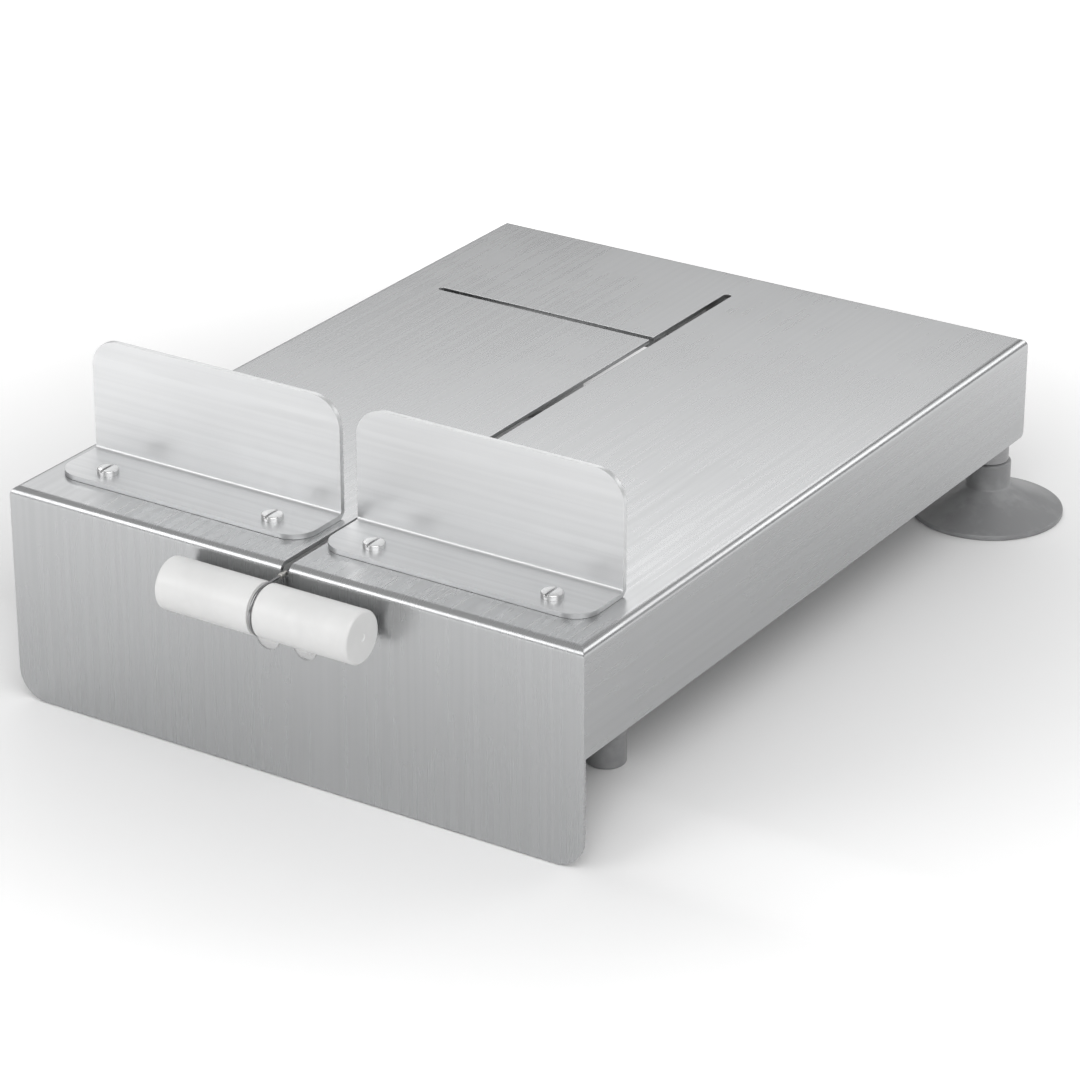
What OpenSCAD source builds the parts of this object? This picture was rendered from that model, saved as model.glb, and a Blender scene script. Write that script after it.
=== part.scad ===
// Table-top wire cheese cutter: a folded sheet base with two fences, and a wire that swings up
// out of a slot on a pin under the rear of the plate, with a round handle looped on its front end.
// Millimetres. X to the right, Y to the rear, Z up. Z = 0 is the apron's lower edge, and the
// origin is below the middle of the whole part's outline in plan.

/* [Base plate] */
// Width of the folded plate
plate_w = 300; // [292:1:360]
// Depth of the folded plate, front to back
plate_d = 400; // [340:1:480]
// Thickness of the sheet
sheet_t = 2; // [1.5:0.5:2.5]
// Outer radius of the plate's folds
fold_r = 4; // [3:0.5:6]
// Height of the front apron, down from the plate's top
apron_h = 103; // [94:1:130]
// Radius of the apron's two lower corners
apron_corner_r = 14; // [4:1:25]
// Height of the side and rear flanges
flange_h = 51; // [40:1:58]
// Radius of the flanges' free corners
flange_corner_r = 3; // [1:0.5:8]
// Gap between the rear flange's ends and the side flanges
corner_gap = 1; // [0.5:0.5:3]

/* [Slots] */
// Width of the wire's slot
slot_w = 4; // [3.5:0.5:6]
// How far the slot runs down the apron
slot_drop = 6; // [5:0.5:10]
// How far the slot runs past the anchor pin
slot_tail = 8; // [6.5:0.5:14]
// Width of the cross slot
cross_slot_w = 3.5; // [2:0.5:6]
// Distance from the cross slot to the plate's rear edge
cross_slot_setback = 98; // [70:1:140]
// Distance from the cross slot's closed end to the plate's left edge
cross_slot_margin = 25; // [10:1:60]

/* [Fences] */
// Distance from the left fence's outer end to the plate's side
fence_margin = 8.75; // [5:0.25:30]
// Height of a fence's upright
fence_h = 56; // [40:1:80]
// Depth of a fence's foot, with the upright
fence_foot_d = 32.8; // [28:0.2:40]
// Thickness of a fence
fence_t = 2.5; // [2:0.5:3]
// Outer radius of a fence's fold
fence_fold_r = 4; // [3.5:0.5:6]
// Radius of the upright's two top corners
fence_top_r = 14.5; // [4:0.5:20]
// Radius of the foot's two front corners
fence_foot_r = 12; // [3:0.5:16]
// Gap between the two fences, where the wire passes
fence_gap = 8.5; // [8:0.5:14]
// How far the gap's middle lies to the left of the slot
fence_shift = 2; // [0:0.25:2]
// Distance from the apron's face to the fences' front edge
fence_setback = 20.5; // [10:0.5:40]
// Distance from a fence's ends to its holes
fence_hole_end = 22.5; // [16:0.5:35]
// Distance from a fence's front edge to its holes
fence_hole_inset = 10.5; // [8:0.5:14]

/* [Fence screws] */
// Diameter of the screws
screw_d = 5; // [4:0.5:5.5]
// Diameter of the screw heads
screw_head_d = 9.8; // [8:0.2:12]
// Height of the screw heads
screw_head_h = 2.8; // [2:0.1:4]
// Width of the screwdriver slots
screw_slot_w = 1.2; // [0.8:0.1:1.6]
// Depth of the screwdriver slots
screw_slot_depth = 1.3; // [0.8:0.1:1.6]
// Radius on the screw heads' rims
screw_rim_r = 0.6; // [0.3:0.1:1]
// Radial clearance of a screw or stud in its hole
hole_gap = 0.25; // [0.1:0.05:0.5]
// Diameter of the washers under the plate
washer_d = 10; // [9:0.5:14]
// Thickness of the washers under the plate
washer_t = 1; // [0.5:0.1:2]
// Size of the fence nuts across their flats
nut_flats = 8; // [7:0.5:10]
// Thickness of the fence nuts
nut_t = 4; // [3:0.5:6]
// How far a screw or stud stands out of its nut
thread_end = 1.5; // [0.5:0.5:4]

/* [Apron studs] */
// Diameter of the domed heads
stud_head_d = 12.6; // [9:0.2:15]
// Height of the domed heads
stud_head_h = 3; // [1.5:0.1:4]
// Diameter of the studs
stud_d = 6; // [5:0.5:6.5]
// Distance between the two studs
stud_spacing = 19.6; // [17:0.2:40]
// Depth of the studs below the plate's top
stud_drop = 36; // [34:1:60]
// Diameter of the stud washers
stud_washer_d = 12; // [10:0.5:14]
// Thickness of the stud washers
stud_washer_t = 1.2; // [0.8:0.1:2]
// Size of the stud nuts across their flats
stud_nut_flats = 10; // [9:0.5:11]
// Thickness of the stud nuts
stud_nut_t = 5; // [3:0.5:7]

/* [Wire and handle] */
// Diameter of the cutting wire
wire_d = 1.2; // [0.8:0.1:1.4]
// Height of the resting wire above the slot's lower end
wire_rest_gap = 1.5; // [1.2:0.1:2]
// Diameter of the handle
handle_d = 24; // [20:1:30]
// Length of the handle
handle_l = 100; // [80:1:140]
// Gap between the resting handle and the apron
handle_gap = 2.3; // [2:0.1:5]
// Radius on the handle's end edges
handle_edge_r = 1.2; // [0.4:0.2:3]
// Width of the handle's groove
groove_w = 3; // [2.8:0.1:5]
// Depth of the handle's groove
groove_depth = 1.4; // [1:0.1:3]
// Radial clearance of the handle in the wire's loop
loop_fit = 0.05; // [0.02:0.01:0.1]
// Distance from the apron to the point where the loop closes
loop_close_gap = 1.3; // [1:0.1:1.8]
// Diameter of the crimped ferrules
ferrule_d = 2.4; // [2:0.1:2.6]
// Length of the front ferrule
front_ferrule_l = 4.5; // [3:0.5:6]
// Length of the rear ferrule
rear_ferrule_l = 7; // [5:0.5:10]
// Radial clearance of the wire in its ferrules and eyelet
crimp_gap = 0.02; // [0.01:0.01:0.05]
// Gap between the wire and the end of its tail, inside a ferrule
tail_gap = 0.15; // [0.1:0.05:0.2]

/* [Rear anchor] */
// Distance from the anchor pin to the plate's rear edge
pin_inset = 36; // [30:1:60]
// Diameter of the anchor pin
pin_d = 4; // [3:0.5:4.5]
// Radial clearance of the eyelet on the pin
pin_fit = 0.05; // [0.02:0.01:0.1]
// Diameter of the eyelet's rims
eyelet_d = 9.6; // [9:0.2:11]
// Diameter of the eyelet's groove
eyelet_root_d = 6.4; // [6.2:0.1:7]
// Width of the eyelet
eyelet_w = 5.4; // [4:0.2:7]
// Width of the eyelet's groove
eyelet_groove_w = 1.8; // [1.6:0.1:2.4]
// Gap between the eyelet's rim and the plate's underside
eyelet_room = 4.2; // [2:0.2:8]
// Distance from the pin to the point where the rear eye closes
eye_reach = 16; // [12:1:24]
// Side clearance of the eyelet between the bracket's ears
ear_clearance = 0.3; // [0.2:0.1:1]
// Thickness of the bracket
bracket_t = 2.5; // [2:0.5:4]
// Length of the bracket along the slot
bracket_l = 18; // [14:1:30]
// Gap between the eyelet's rim and the bracket's web
web_gap = 1; // [0.5:0.1:3]
// Diameter of the pin's head
pin_head_d = 7; // [6:0.5:9]
// Thickness of the pin's head
pin_head_t = 1.5; // [1:0.1:3]
// Diameter of the pin's clip
clip_d = 8; // [7:0.5:10]
// Thickness of the pin's clip
clip_t = 0.8; // [0.6:0.1:1.2]
// Depth of the clip's groove in the pin
clip_groove_depth = 0.5; // [0.3:0.1:0.7]

/* [Legs, feet and cups] */
// Height of the plate's top above the worktop
stand_h = 88.5; // [84:0.5:92]
// Diameter of the front legs and feet
front_leg_d = 18; // [16:1:24]
// Distance from a front leg's axis to the plate's side
front_leg_inset = 30; // [16:1:50]
// Distance from a front leg's axis to the apron's face
front_leg_setback = 66; // [30:1:120]
// Diameter of the rear legs
rear_leg_d = 19; // [16:0.5:22]
// Gap between a rear leg and the flanges at its corner
rear_leg_gap = 0.5; // [0.5:0.5:12]
// Chamfer on the legs' top edges
leg_chamfer = 2.5; // [2:0.5:4]
// Diameter of the weld studs
weld_stud_d = 6; // [5:0.5:8]
// Length of the weld studs
weld_stud_l = 16; // [10:1:24]
// Diameter of the weld studs' flanges
weld_flange_d = 9; // [8.5:0.5:10]
// Thickness of the weld studs' flanges
weld_flange_t = 1; // [0.6:0.1:2]
// Radial clearance of the legs' threads and spigots
thread_fit = 0.1; // [0.05:0.05:0.2]
// Height of the front feet
foot_h = 34; // [20:1:36]
// Radius on the front feet's lower edge
foot_edge_r = 1; // [0.5:0.5:3]
// Diameter of the spigots in the front feet
spigot_d = 8; // [6:0.5:10]
// Length of the spigots in the front feet
spigot_l = 12; // [8:1:18]
// Diameter of a suction cup's rim
cup_d = 74; // [60:1:90]
// Thickness of a suction cup's rim
cup_lip = 2.5; // [1.5:0.5:4]
// Rise of a cup's flare from its rim to its neck
cup_rise = 12; // [10:0.5:16]
// Diameter of a cup's neck
cup_neck_d = 21.6; // [19:0.2:26]
// Height of a suction cup
cup_h = 27.5; // [26:0.5:34]
// Diameter of the hollow under a cup
cup_hollow_d = 68; // [50:1:70]
// Height of the hollow under a cup
cup_hollow_h = 8; // [5:0.5:9]
// Diameter of the hollow's flat top
cup_hollow_top_d = 16; // [8:1:20]
// Diameter of the cups' studs
cup_stud_d = 6; // [5:0.5:8]
// Length of a cup's stud in the cup, and again in the leg
cup_stud_reach = 12; // [8:0.5:12]

/* [Hidden] */
$fn = 96;

// Cuts run past the faces they open by this much
overrun = 1;
// A screwed-in stud stops this far short of the bottom of its hole
blind_gap = 2;
// How the flare of a cup falls away from its neck: 1 is a straight cone
flare_power_share = 1.2;
// Sides of the wire's tube, and the angle between the rings on its loops
wire_sides = 12;
arc_step = 8;
// Steps in the curve of a cup's flare
flare_steps = 10;

// Half sizes
plate_x = plate_w / 2;
wire_r = wire_d / 2;
handle_r = handle_d / 2;

// The handle hangs in front of the apron, and the wire leaves the top of its groove
groove_r = handle_r - groove_depth;
loop_r = groove_r + loop_fit + wire_r;
handle_y = -(handle_gap + handle_r);
handle_z = wire_rest_gap + wire_r - slot_drop - loop_r;
loop_reach = -handle_y - loop_close_gap;

// The rear eye lies in the eyelet's groove, under the plate
eye_r = eyelet_root_d / 2 + crimp_gap + wire_r;
pin_y = plate_d - pin_inset;
pin_z = -(sheet_t + eyelet_room + eyelet_d / 2);

// The straight wire touches the top of the eye and the top of the loop
span = norm([pin_y - handle_y, pin_z - handle_z]);
wire_l = sqrt(pow(span, 2) - pow(loop_r - eye_r, 2));
wire_tilt = atan2(handle_z - pin_z, pin_y - handle_y) + asin((loop_r - eye_r) / span);

// Bracket round the eyelet
ear_x = eyelet_w / 2 + ear_clearance;
web_z = pin_z - eyelet_d / 2 - web_gap;

// Fences, from the plate's centreline
fence_w = plate_x - fence_margin - fence_shift - fence_gap / 2;
fence_x = [-(fence_shift + fence_gap / 2 + fence_w / 2), fence_gap / 2 + fence_w / 2 - fence_shift];
fence_hole_x = fence_w / 2 - fence_hole_end;
fence_hole_y = fence_setback + fence_hole_inset;
fence_holes = [for (x = fence_x, s = [-1, 1]) [x + s * fence_hole_x, fence_hole_y]];
screw_l = fence_t + sheet_t + washer_t + nut_t + thread_end;

// Apron studs
stud_x = [-stud_spacing / 2, stud_spacing / 2];
stud_l = sheet_t + stud_washer_t + stud_nut_t + thread_end;

// Legs
front_leg_x = plate_x - front_leg_inset;
rear_leg_x = plate_x - sheet_t - rear_leg_gap - rear_leg_d / 2;
rear_leg_y = plate_d - sheet_t - rear_leg_gap - rear_leg_d / 2;
leg_places = [
  [-front_leg_x, front_leg_setback], [front_leg_x, front_leg_setback],
  [-rear_leg_x, rear_leg_y], [rear_leg_x, rear_leg_y]
];
front_leg_l = stand_h - sheet_t - foot_h;
rear_leg_l = stand_h - sheet_t - cup_h;

// Middle of the whole outline in plan, from the handle's front to the cups' rear
plan_y = (rear_leg_y + cup_d / 2 + handle_y - handle_r) / 2;

steel = [0.80, 0.81, 0.82];
bright = [0.88, 0.89, 0.90];
dark_rubber = [0.30, 0.31, 0.32];
light_plastic = [0.90, 0.90, 0.89];

// Moves the plate's own frame, with Z = 0 on its top and Y = 0 on the apron's face, to the part's
module from_plate() {
  translate([0, -plan_y, apron_h]) children();
}

// Moves the wire's frame, with the pin at its origin and the straight wire along -Y, to the plate's
module from_wire() {
  translate([0, pin_y, pin_z]) rotate([-wire_tilt, 0, 0]) children();
}

// Turns a shape that is drawn flat, with its sides along Y and Z, so that its height runs along X
module along_x(length) {
  translate([-length / 2, 0, 0]) rotate([90, 0, 90]) linear_extrude(length) children();
}

// Turns a shape that is drawn flat, with its sides along X and Z, so that its height runs along Y
module along_y(length) {
  translate([0, length, 0]) rotate([90, 0, 0]) linear_extrude(length) children();
}

// Rectangle from x0 to x1 that hangs down from z, with its two upper corners round
module hanging_panel(x0, x1, z, height, r) {
  translate([x0, z - height]) square([x1 - x0, height - r]);
  translate([x0 + r, z - height]) square([x1 - x0 - 2 * r, height]);
  for (x = [x0 + r, x1 - r]) translate([x, z - r]) circle(r);
}

// Rectangle from 0 to the given size, with its lower right corner round
module bent_corner(size, r) {
  square([size[0] - r, size[1]]);
  translate([0, r]) square([size[0], size[1] - r]);
  translate([size[0] - r, r]) circle(r);
}

// What lies outside the arc of a square's upper right corner, to be cut away
module corner_waste(r) {
  difference() {
    square(r + overrun);
    circle(r);
  }
}

// The folded blank's outside, or its inside when it is inset by the sheet
module folded_block(inset, depth) {
  r = fold_r - inset;
  intersection() {
    along_x(plate_w + 2 * overrun) hanging_panel(inset, plate_d - inset, -inset, depth, r);
    translate([0, -overrun, 0]) along_y(plate_d + 2 * overrun)
      hanging_panel(inset - plate_x, plate_x - inset, -inset, depth, r);
  }
}

// The wire's slot, square where it ends on the apron and round at its rear end
module wire_slot() {
  slot_r = slot_w / 2;
  slot_end_y = pin_y + slot_tail - slot_r;
  cut_h = slot_drop + overrun;
  translate([-slot_r, -overrun, -slot_drop]) cube([slot_w, slot_end_y + overrun, cut_h]);
  translate([0, slot_end_y, -slot_drop]) cylinder(r = slot_r, h = cut_h);
}

// The cross slot, from the wire's slot to its round closed end
module cross_slot() {
  slot_r = cross_slot_w / 2;
  end_x = cross_slot_margin + slot_r - plate_x;
  translate([0, plate_d - cross_slot_setback, -sheet_t - overrun]) {
    translate([end_x, -slot_r, 0]) cube([-end_x, cross_slot_w, sheet_t + 2 * overrun]);
    translate([end_x, 0, 0]) cylinder(r = slot_r, h = sheet_t + 2 * overrun);
  }
}

// The apron's two lower corners, cut away to their radius
module apron_corners() {
  for (s = [0, 1]) mirror([s, 0, 0])
    translate([plate_x - apron_corner_r, -overrun, apron_corner_r - apron_h]) mirror([0, 0, 1])
      along_y(sheet_t + 2 * overrun) corner_waste(apron_corner_r);
}

// The free lower corners of the side flanges and the rear flange, and the gaps between them
module flange_corners() {
  gap_x = plate_x - sheet_t - corner_gap;
  low_z = flange_corner_r - flange_h;
  for (s = [0, 1]) mirror([s, 0, 0]) {
    translate([gap_x, plate_d - fold_r, -flange_h - overrun])
      cube([corner_gap, fold_r + overrun, flange_h + overrun - fold_r]);
    translate([gap_x - flange_corner_r, plate_d - fold_r, low_z]) mirror([0, 0, 1])
      along_y(fold_r + overrun) intersection() {
        corner_waste(flange_corner_r);
        square([flange_corner_r, flange_corner_r + overrun]);
      }
    translate([plate_x, plate_d - flange_corner_r, low_z]) mirror([0, 0, 1])
      along_x(2 * sheet_t + corner_gap) corner_waste(flange_corner_r);
  }
}

module base_plate() color(steel) from_plate() difference() {
  folded_block(0, apron_h);
  folded_block(sheet_t, apron_h + overrun);
  translate([-plate_x - overrun, sheet_t, -apron_h - overrun])
    cube([plate_w + 2 * overrun, plate_d, apron_h - flange_h + overrun]);
  apron_corners();
  flange_corners();
  wire_slot();
  cross_slot();
  for (p = fence_holes) translate([p[0], p[1], -sheet_t - overrun])
    cylinder(d = screw_d + 2 * hole_gap, h = sheet_t + 2 * overrun);
  for (x = stud_x) translate([x, -overrun, -stud_drop]) rotate([-90, 0, 0])
    cylinder(d = stud_d + 2 * hole_gap, h = sheet_t + 2 * overrun);
}

// One fence about its own middle, with its front edge on Y = 0 and its foot on Z = 0
module fence() {
  difference() {
    intersection() {
      along_x(fence_w) difference() {
        bent_corner([fence_foot_d, fence_h], fence_fold_r);
        translate([-overrun, fence_t])
          bent_corner([fence_foot_d - fence_t + overrun, fence_h], fence_fold_r - fence_t);
      }
      translate([0, -overrun, 0]) along_y(fence_foot_d + 2 * overrun)
        hanging_panel(-fence_w / 2, fence_w / 2, fence_h, fence_h + overrun, fence_top_r);
      translate([0, 0, -overrun]) mirror([0, 1, 0]) linear_extrude(fence_h + 2 * overrun)
        hanging_panel(-fence_w / 2, fence_w / 2, 0, fence_foot_d + overrun, fence_foot_r);
    }
    for (s = [-1, 1]) translate([s * fence_hole_x, fence_hole_inset, -overrun])
      cylinder(d = screw_d + 2 * hole_gap, h = fence_t + 2 * overrun);
  }
}

module left_fence() color(steel) from_plate() translate([fence_x[0], fence_setback, 0]) fence();
module right_fence() color(steel) from_plate() translate([fence_x[1], fence_setback, 0]) fence();

// Screw with a slotted head, its seat on Z = 0 and its shank down
module slotted_screw() {
  head_r = screw_head_d / 2;
  difference() {
    rotate_extrude() {
      square([head_r, screw_head_h - screw_rim_r]);
      square([head_r - screw_rim_r, screw_head_h]);
      translate([head_r - screw_rim_r, screw_head_h - screw_rim_r]) intersection() {
        circle(screw_rim_r);
        square(screw_rim_r);
      }
    }
    translate([-screw_slot_w / 2, -screw_head_d, screw_head_h - screw_slot_depth])
      cube([screw_slot_w, 2 * screw_head_d, screw_slot_depth + overrun]);
  }
  translate([0, 0, -screw_l]) cylinder(d = screw_d, h = screw_l);
}

// Flat washer that hangs down from Z = 0
module washer(d, t, hole_d) {
  translate([0, 0, -t]) difference() {
    cylinder(d = d, h = t);
    translate([0, 0, -overrun]) cylinder(d = hole_d, h = t + 2 * overrun);
  }
}

// Hexagon nut that hangs down from Z = 0
module hex_nut(flats, t, hole_d) {
  translate([0, 0, -t]) difference() {
    cylinder(d = flats / cos(30), h = t, $fn = 6);
    translate([0, 0, -overrun]) cylinder(d = hole_d, h = t + 2 * overrun);
  }
}

module fence_screws() color(bright) from_plate()
  for (p = fence_holes) translate([p[0], p[1], fence_t]) slotted_screw();

module fence_washers() color(bright) from_plate()
  for (p = fence_holes) translate([p[0], p[1], -sheet_t])
    washer(washer_d, washer_t, screw_d + 2 * hole_gap);

module fence_nuts() color(bright) from_plate()
  for (p = fence_holes) translate([p[0], p[1], -sheet_t - washer_t])
    hex_nut(nut_flats, nut_t, screw_d + 2 * thread_fit);

// Moves what hangs down from Z = 0 to each apron stud, pointing back from the given depth
module at_studs(depth) {
  for (x = stud_x) translate([x, depth, -stud_drop]) rotate([90, 0, 0]) children();
}

module apron_studs() color(bright) from_plate() at_studs(0) {
  dome_r = (pow(stud_head_d / 2, 2) + pow(stud_head_h, 2)) / (2 * stud_head_h);
  intersection() {
    translate([0, 0, stud_head_h - dome_r]) sphere(dome_r);
    cylinder(d = stud_head_d + overrun, h = stud_head_h + overrun);
  }
  translate([0, 0, -stud_l]) cylinder(d = stud_d, h = stud_l);
}

module apron_stud_washers() color(bright) from_plate()
  at_studs(sheet_t) washer(stud_washer_d, stud_washer_t, stud_d + 2 * hole_gap);

module apron_stud_nuts() color(bright) from_plate()
  at_studs(sheet_t + stud_washer_t) hex_nut(stud_nut_flats, stud_nut_t, stud_d + 2 * thread_fit);

module anchor_bracket() color(steel) from_plate() difference() {
  low_z = web_z - bracket_t;
  half_w = ear_x + bracket_t;
  translate([-half_w, pin_y - bracket_l / 2, low_z]) cube([2 * half_w, bracket_l, -sheet_t - low_z]);
  translate([-ear_x, pin_y - bracket_l / 2 - overrun, web_z])
    cube([2 * ear_x, bracket_l + 2 * overrun, overrun - web_z]);
  translate([-half_w - overrun, pin_y, pin_z]) rotate([0, 90, 0])
    cylinder(d = pin_d + 2 * thread_fit, h = 2 * (half_w + overrun));
}

module anchor_pin() color(bright) from_plate() translate([0, pin_y, pin_z]) rotate([0, 90, 0]) {
  half_w = ear_x + bracket_t;
  tip_x = half_w + 2 * clip_t;
  translate([0, 0, -half_w - pin_head_t]) cylinder(d = pin_head_d, h = pin_head_t);
  difference() {
    translate([0, 0, -half_w]) cylinder(d = pin_d, h = half_w + tip_x);
    translate([0, 0, half_w]) difference() {
      cylinder(d = pin_d + overrun, h = clip_t);
      translate([0, 0, -overrun]) cylinder(d = pin_d - 2 * clip_groove_depth, h = clip_t + 2 * overrun);
    }
  }
}

// Clip that snaps up over the pin from below
module anchor_clip() color(bright) from_plate()
  translate([ear_x + bracket_t, pin_y, pin_z]) rotate([0, 90, 0]) difference() {
    neck_d = pin_d - 2 * clip_groove_depth;
    cylinder(d = clip_d, h = clip_t);
    translate([0, 0, -overrun]) cylinder(d = neck_d, h = clip_t + 2 * overrun);
    translate([0, -neck_d / 2, -overrun]) cube([clip_d, neck_d, clip_t + 2 * overrun]);
  }

module weld_studs() color(bright) from_plate()
  for (p = leg_places) translate([p[0], p[1], -sheet_t]) {
    translate([0, 0, -weld_flange_t]) cylinder(d = weld_flange_d, h = weld_flange_t);
    translate([0, 0, -weld_stud_l]) cylinder(d = weld_stud_d, h = weld_stud_l);
  }

// Round leg that hangs down from Z = 0, with a chamfered top and its weld stud's hole
module leg(d, length) {
  difference() {
    union() {
      translate([0, 0, -length]) cylinder(d = d, h = length - leg_chamfer);
      translate([0, 0, -leg_chamfer]) cylinder(d1 = d, d2 = d - 2 * leg_chamfer, h = leg_chamfer);
    }
    translate([0, 0, -weld_stud_l - blind_gap])
      cylinder(d = weld_stud_d + 2 * thread_fit, h = weld_stud_l + blind_gap + overrun);
    translate([0, 0, -weld_flange_t - thread_fit])
      cylinder(d = weld_flange_d + 2 * thread_fit, h = weld_flange_t + thread_fit + overrun);
  }
}

module front_leg(p) from_plate() translate([p[0], p[1], -sheet_t]) {
  leg(front_leg_d, front_leg_l);
  translate([0, 0, -front_leg_l - spigot_l]) cylinder(d = spigot_d, h = spigot_l + overrun);
}

module rear_leg(p) from_plate() translate([p[0], p[1], -sheet_t]) difference() {
  leg(rear_leg_d, rear_leg_l);
  translate([0, 0, -rear_leg_l - overrun])
    cylinder(d = cup_stud_d + 2 * thread_fit, h = cup_stud_reach + blind_gap + overrun);
}

// Round foot that stands on the worktop, with a hole for its leg's spigot
module front_foot(p) from_plate() translate([p[0], p[1], -stand_h]) {
  foot_r = front_leg_d / 2;
  difference() {
    rotate_extrude() {
      translate([0, foot_edge_r]) square([foot_r, foot_h - foot_edge_r]);
      square([foot_r - foot_edge_r, foot_h]);
      translate([foot_r - foot_edge_r, foot_edge_r]) intersection() {
        circle(foot_edge_r);
        translate([0, -foot_edge_r]) square(foot_edge_r);
      }
    }
    translate([0, 0, foot_h - spigot_l - blind_gap])
      cylinder(d = spigot_d + 2 * thread_fit, h = spigot_l + blind_gap + overrun);
  }
}

// Suction cup: a neck that flares out to a thin rim, hollow below and bored for its stud
module suction_cup(p) from_plate() translate([p[0], p[1], -stand_h]) {
  rim_r = cup_d / 2;
  neck_r = cup_neck_d / 2;
  flare = [
    for (i = [0:flare_steps]) let (t = i / flare_steps)
      [rim_r + t * (neck_r - rim_r), cup_lip + cup_rise * pow(t, flare_power_share)]
  ];
  difference() {
    rotate_extrude() polygon(concat([[0, 0], [rim_r, 0]], flare, [[neck_r, cup_h], [0, cup_h]]));
    translate([0, 0, -overrun]) cylinder(d = cup_hollow_d, h = overrun);
    cylinder(d1 = cup_hollow_d, d2 = cup_hollow_top_d, h = cup_hollow_h);
    translate([0, 0, cup_h - cup_stud_reach - blind_gap])
      cylinder(d = cup_stud_d + 2 * thread_fit, h = cup_stud_reach + blind_gap + overrun);
  }
}

module front_left_leg() color(steel) front_leg(leg_places[0]);
module front_right_leg() color(steel) front_leg(leg_places[1]);
module rear_left_leg() color(steel) rear_leg(leg_places[2]);
module rear_right_leg() color(steel) rear_leg(leg_places[3]);
module front_left_foot() color(dark_rubber) front_foot(leg_places[0]);
module front_right_foot() color(dark_rubber) front_foot(leg_places[1]);
module rear_left_cup() color(dark_rubber) suction_cup(leg_places[2]);
module rear_right_cup() color(dark_rubber) suction_cup(leg_places[3]);

module cup_studs() color(bright) from_plate()
  for (i = [2, 3]) translate([leg_places[i][0], leg_places[i][1], cup_h - cup_stud_reach - stand_h])
    cylinder(d = cup_stud_d, h = 2 * cup_stud_reach);

// Angle between the straight wire and the tail of a loop
function close_angle(r, reach) = 2 * atan2(r, reach);

// Length of a loop's tail, which stops just beside the straight wire, in the ferrule
function tail_length(r, reach) = let (a = close_angle(r, reach))
  reach - (wire_r * (1 + cos(a)) + tail_gap) / sin(a);

// Points, as [Y, Z] about a loop's centre, from the top of its circle, where the straight wire
// leaves along +Y, round its far side and up its tail
function loop_points(r, reach) =
  let (a = close_angle(r, reach), steps = ceil((180 + a) / arc_step), end = r * [sin(a), -cos(a)])
  concat(
    [for (i = [0:steps]) let (b = 90 + (180 + a) * i / steps) r * [cos(b), sin(b)]],
    [end + tail_length(r, reach) * [cos(a), sin(a)]]
  );

// The whole wire's points about the pin, from the tail of the rear eye to the tail of the loop
rear_points = [for (p = loop_points(eye_r, eye_reach)) [-p[0], p[1]]];
front_points = [for (p = loop_points(loop_r, loop_reach)) p + [-wire_l, eye_r - loop_r]];
wire_points = concat([for (i = [len(rear_points) - 1:-1:0]) rear_points[i]], front_points);

// One ring of the wire's tube, square to the run at its point
function wire_ring(i) =
  let (
    p = wire_points[i],
    run = wire_points[min(i + 1, len(wire_points) - 1)] - wire_points[max(i - 1, 0)],
    u = run / norm(run)
  )
  [for (k = [0:wire_sides - 1]) let (b = 360 * k / wire_sides)
    [wire_r * cos(b), p[0] - wire_r * sin(b) * u[1], p[1] + wire_r * sin(b) * u[0]]];

module cutting_wire() color(bright) from_plate() from_wire() {
  rings = len(wire_points);
  last = (rings - 1) * wire_sides;
  polyhedron(
    points = [for (i = [0:rings - 1]) each wire_ring(i)],
    faces = concat(
      [[for (k = [0:wire_sides - 1]) k]],
      [for (i = [0:rings - 2], k = [0:wire_sides - 1], half = [0, 1])
        let (a = i * wire_sides, n = (k + 1) % wire_sides)
        half == 0 ? [a + k, a + wire_sides + k, a + n] : [a + n, a + wire_sides + k, a + wire_sides + n]],
      [[for (k = [wire_sides - 1:-1:0]) last + k]]
    )
  );
}

// Bores for the straight wire and for a loop's tail, in the ferrule that closes the loop. The loop's
// centre is at Y = 0 and Z = 0, and the straight wire leaves it along +Y.
module ferrule_bores(r, reach) {
  bore_r = wire_r + crimp_gap;
  a = close_angle(r, reach);
  translate([0, 0, r]) rotate([-90, 0, 0]) cylinder(r = bore_r, h = 2 * reach);
  rotate([a - 90, 0, 0]) translate([0, r, 0]) cylinder(r = bore_r, h = tail_length(r, reach) + crimp_gap);
}

module wire_eyelet() color(bright) from_plate() from_wire() rotate([0, 90, 0]) difference() {
  translate([0, 0, -eyelet_w / 2]) cylinder(d = eyelet_d, h = eyelet_w);
  translate([0, 0, -eyelet_groove_w / 2]) difference() {
    cylinder(d = eyelet_d + overrun, h = eyelet_groove_w);
    translate([0, 0, -overrun]) cylinder(d = eyelet_root_d, h = eyelet_groove_w + 2 * overrun);
  }
  translate([0, 0, -eyelet_w / 2 - overrun])
    cylinder(d = pin_d + 2 * pin_fit, h = eyelet_w + 2 * overrun);
}

// Sleeve that is crimped over the wire and its tail, where the rear eye closes
module rear_ferrule() color(bright) from_plate() from_wire() mirror([0, 1, 0]) difference() {
  tail_drop = ferrule_d / 2;
  translate([0, eye_reach - rear_ferrule_l / 2, eye_r]) rotate([-90, 0, 0]) {
    cylinder(d = ferrule_d, h = rear_ferrule_l);
    translate([0, tail_drop, 0]) cylinder(d = ferrule_d, h = rear_ferrule_l);
    translate([-ferrule_d / 2, 0, 0]) cube([ferrule_d, tail_drop, rear_ferrule_l]);
  }
  ferrule_bores(eye_r, eye_reach);
}

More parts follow.
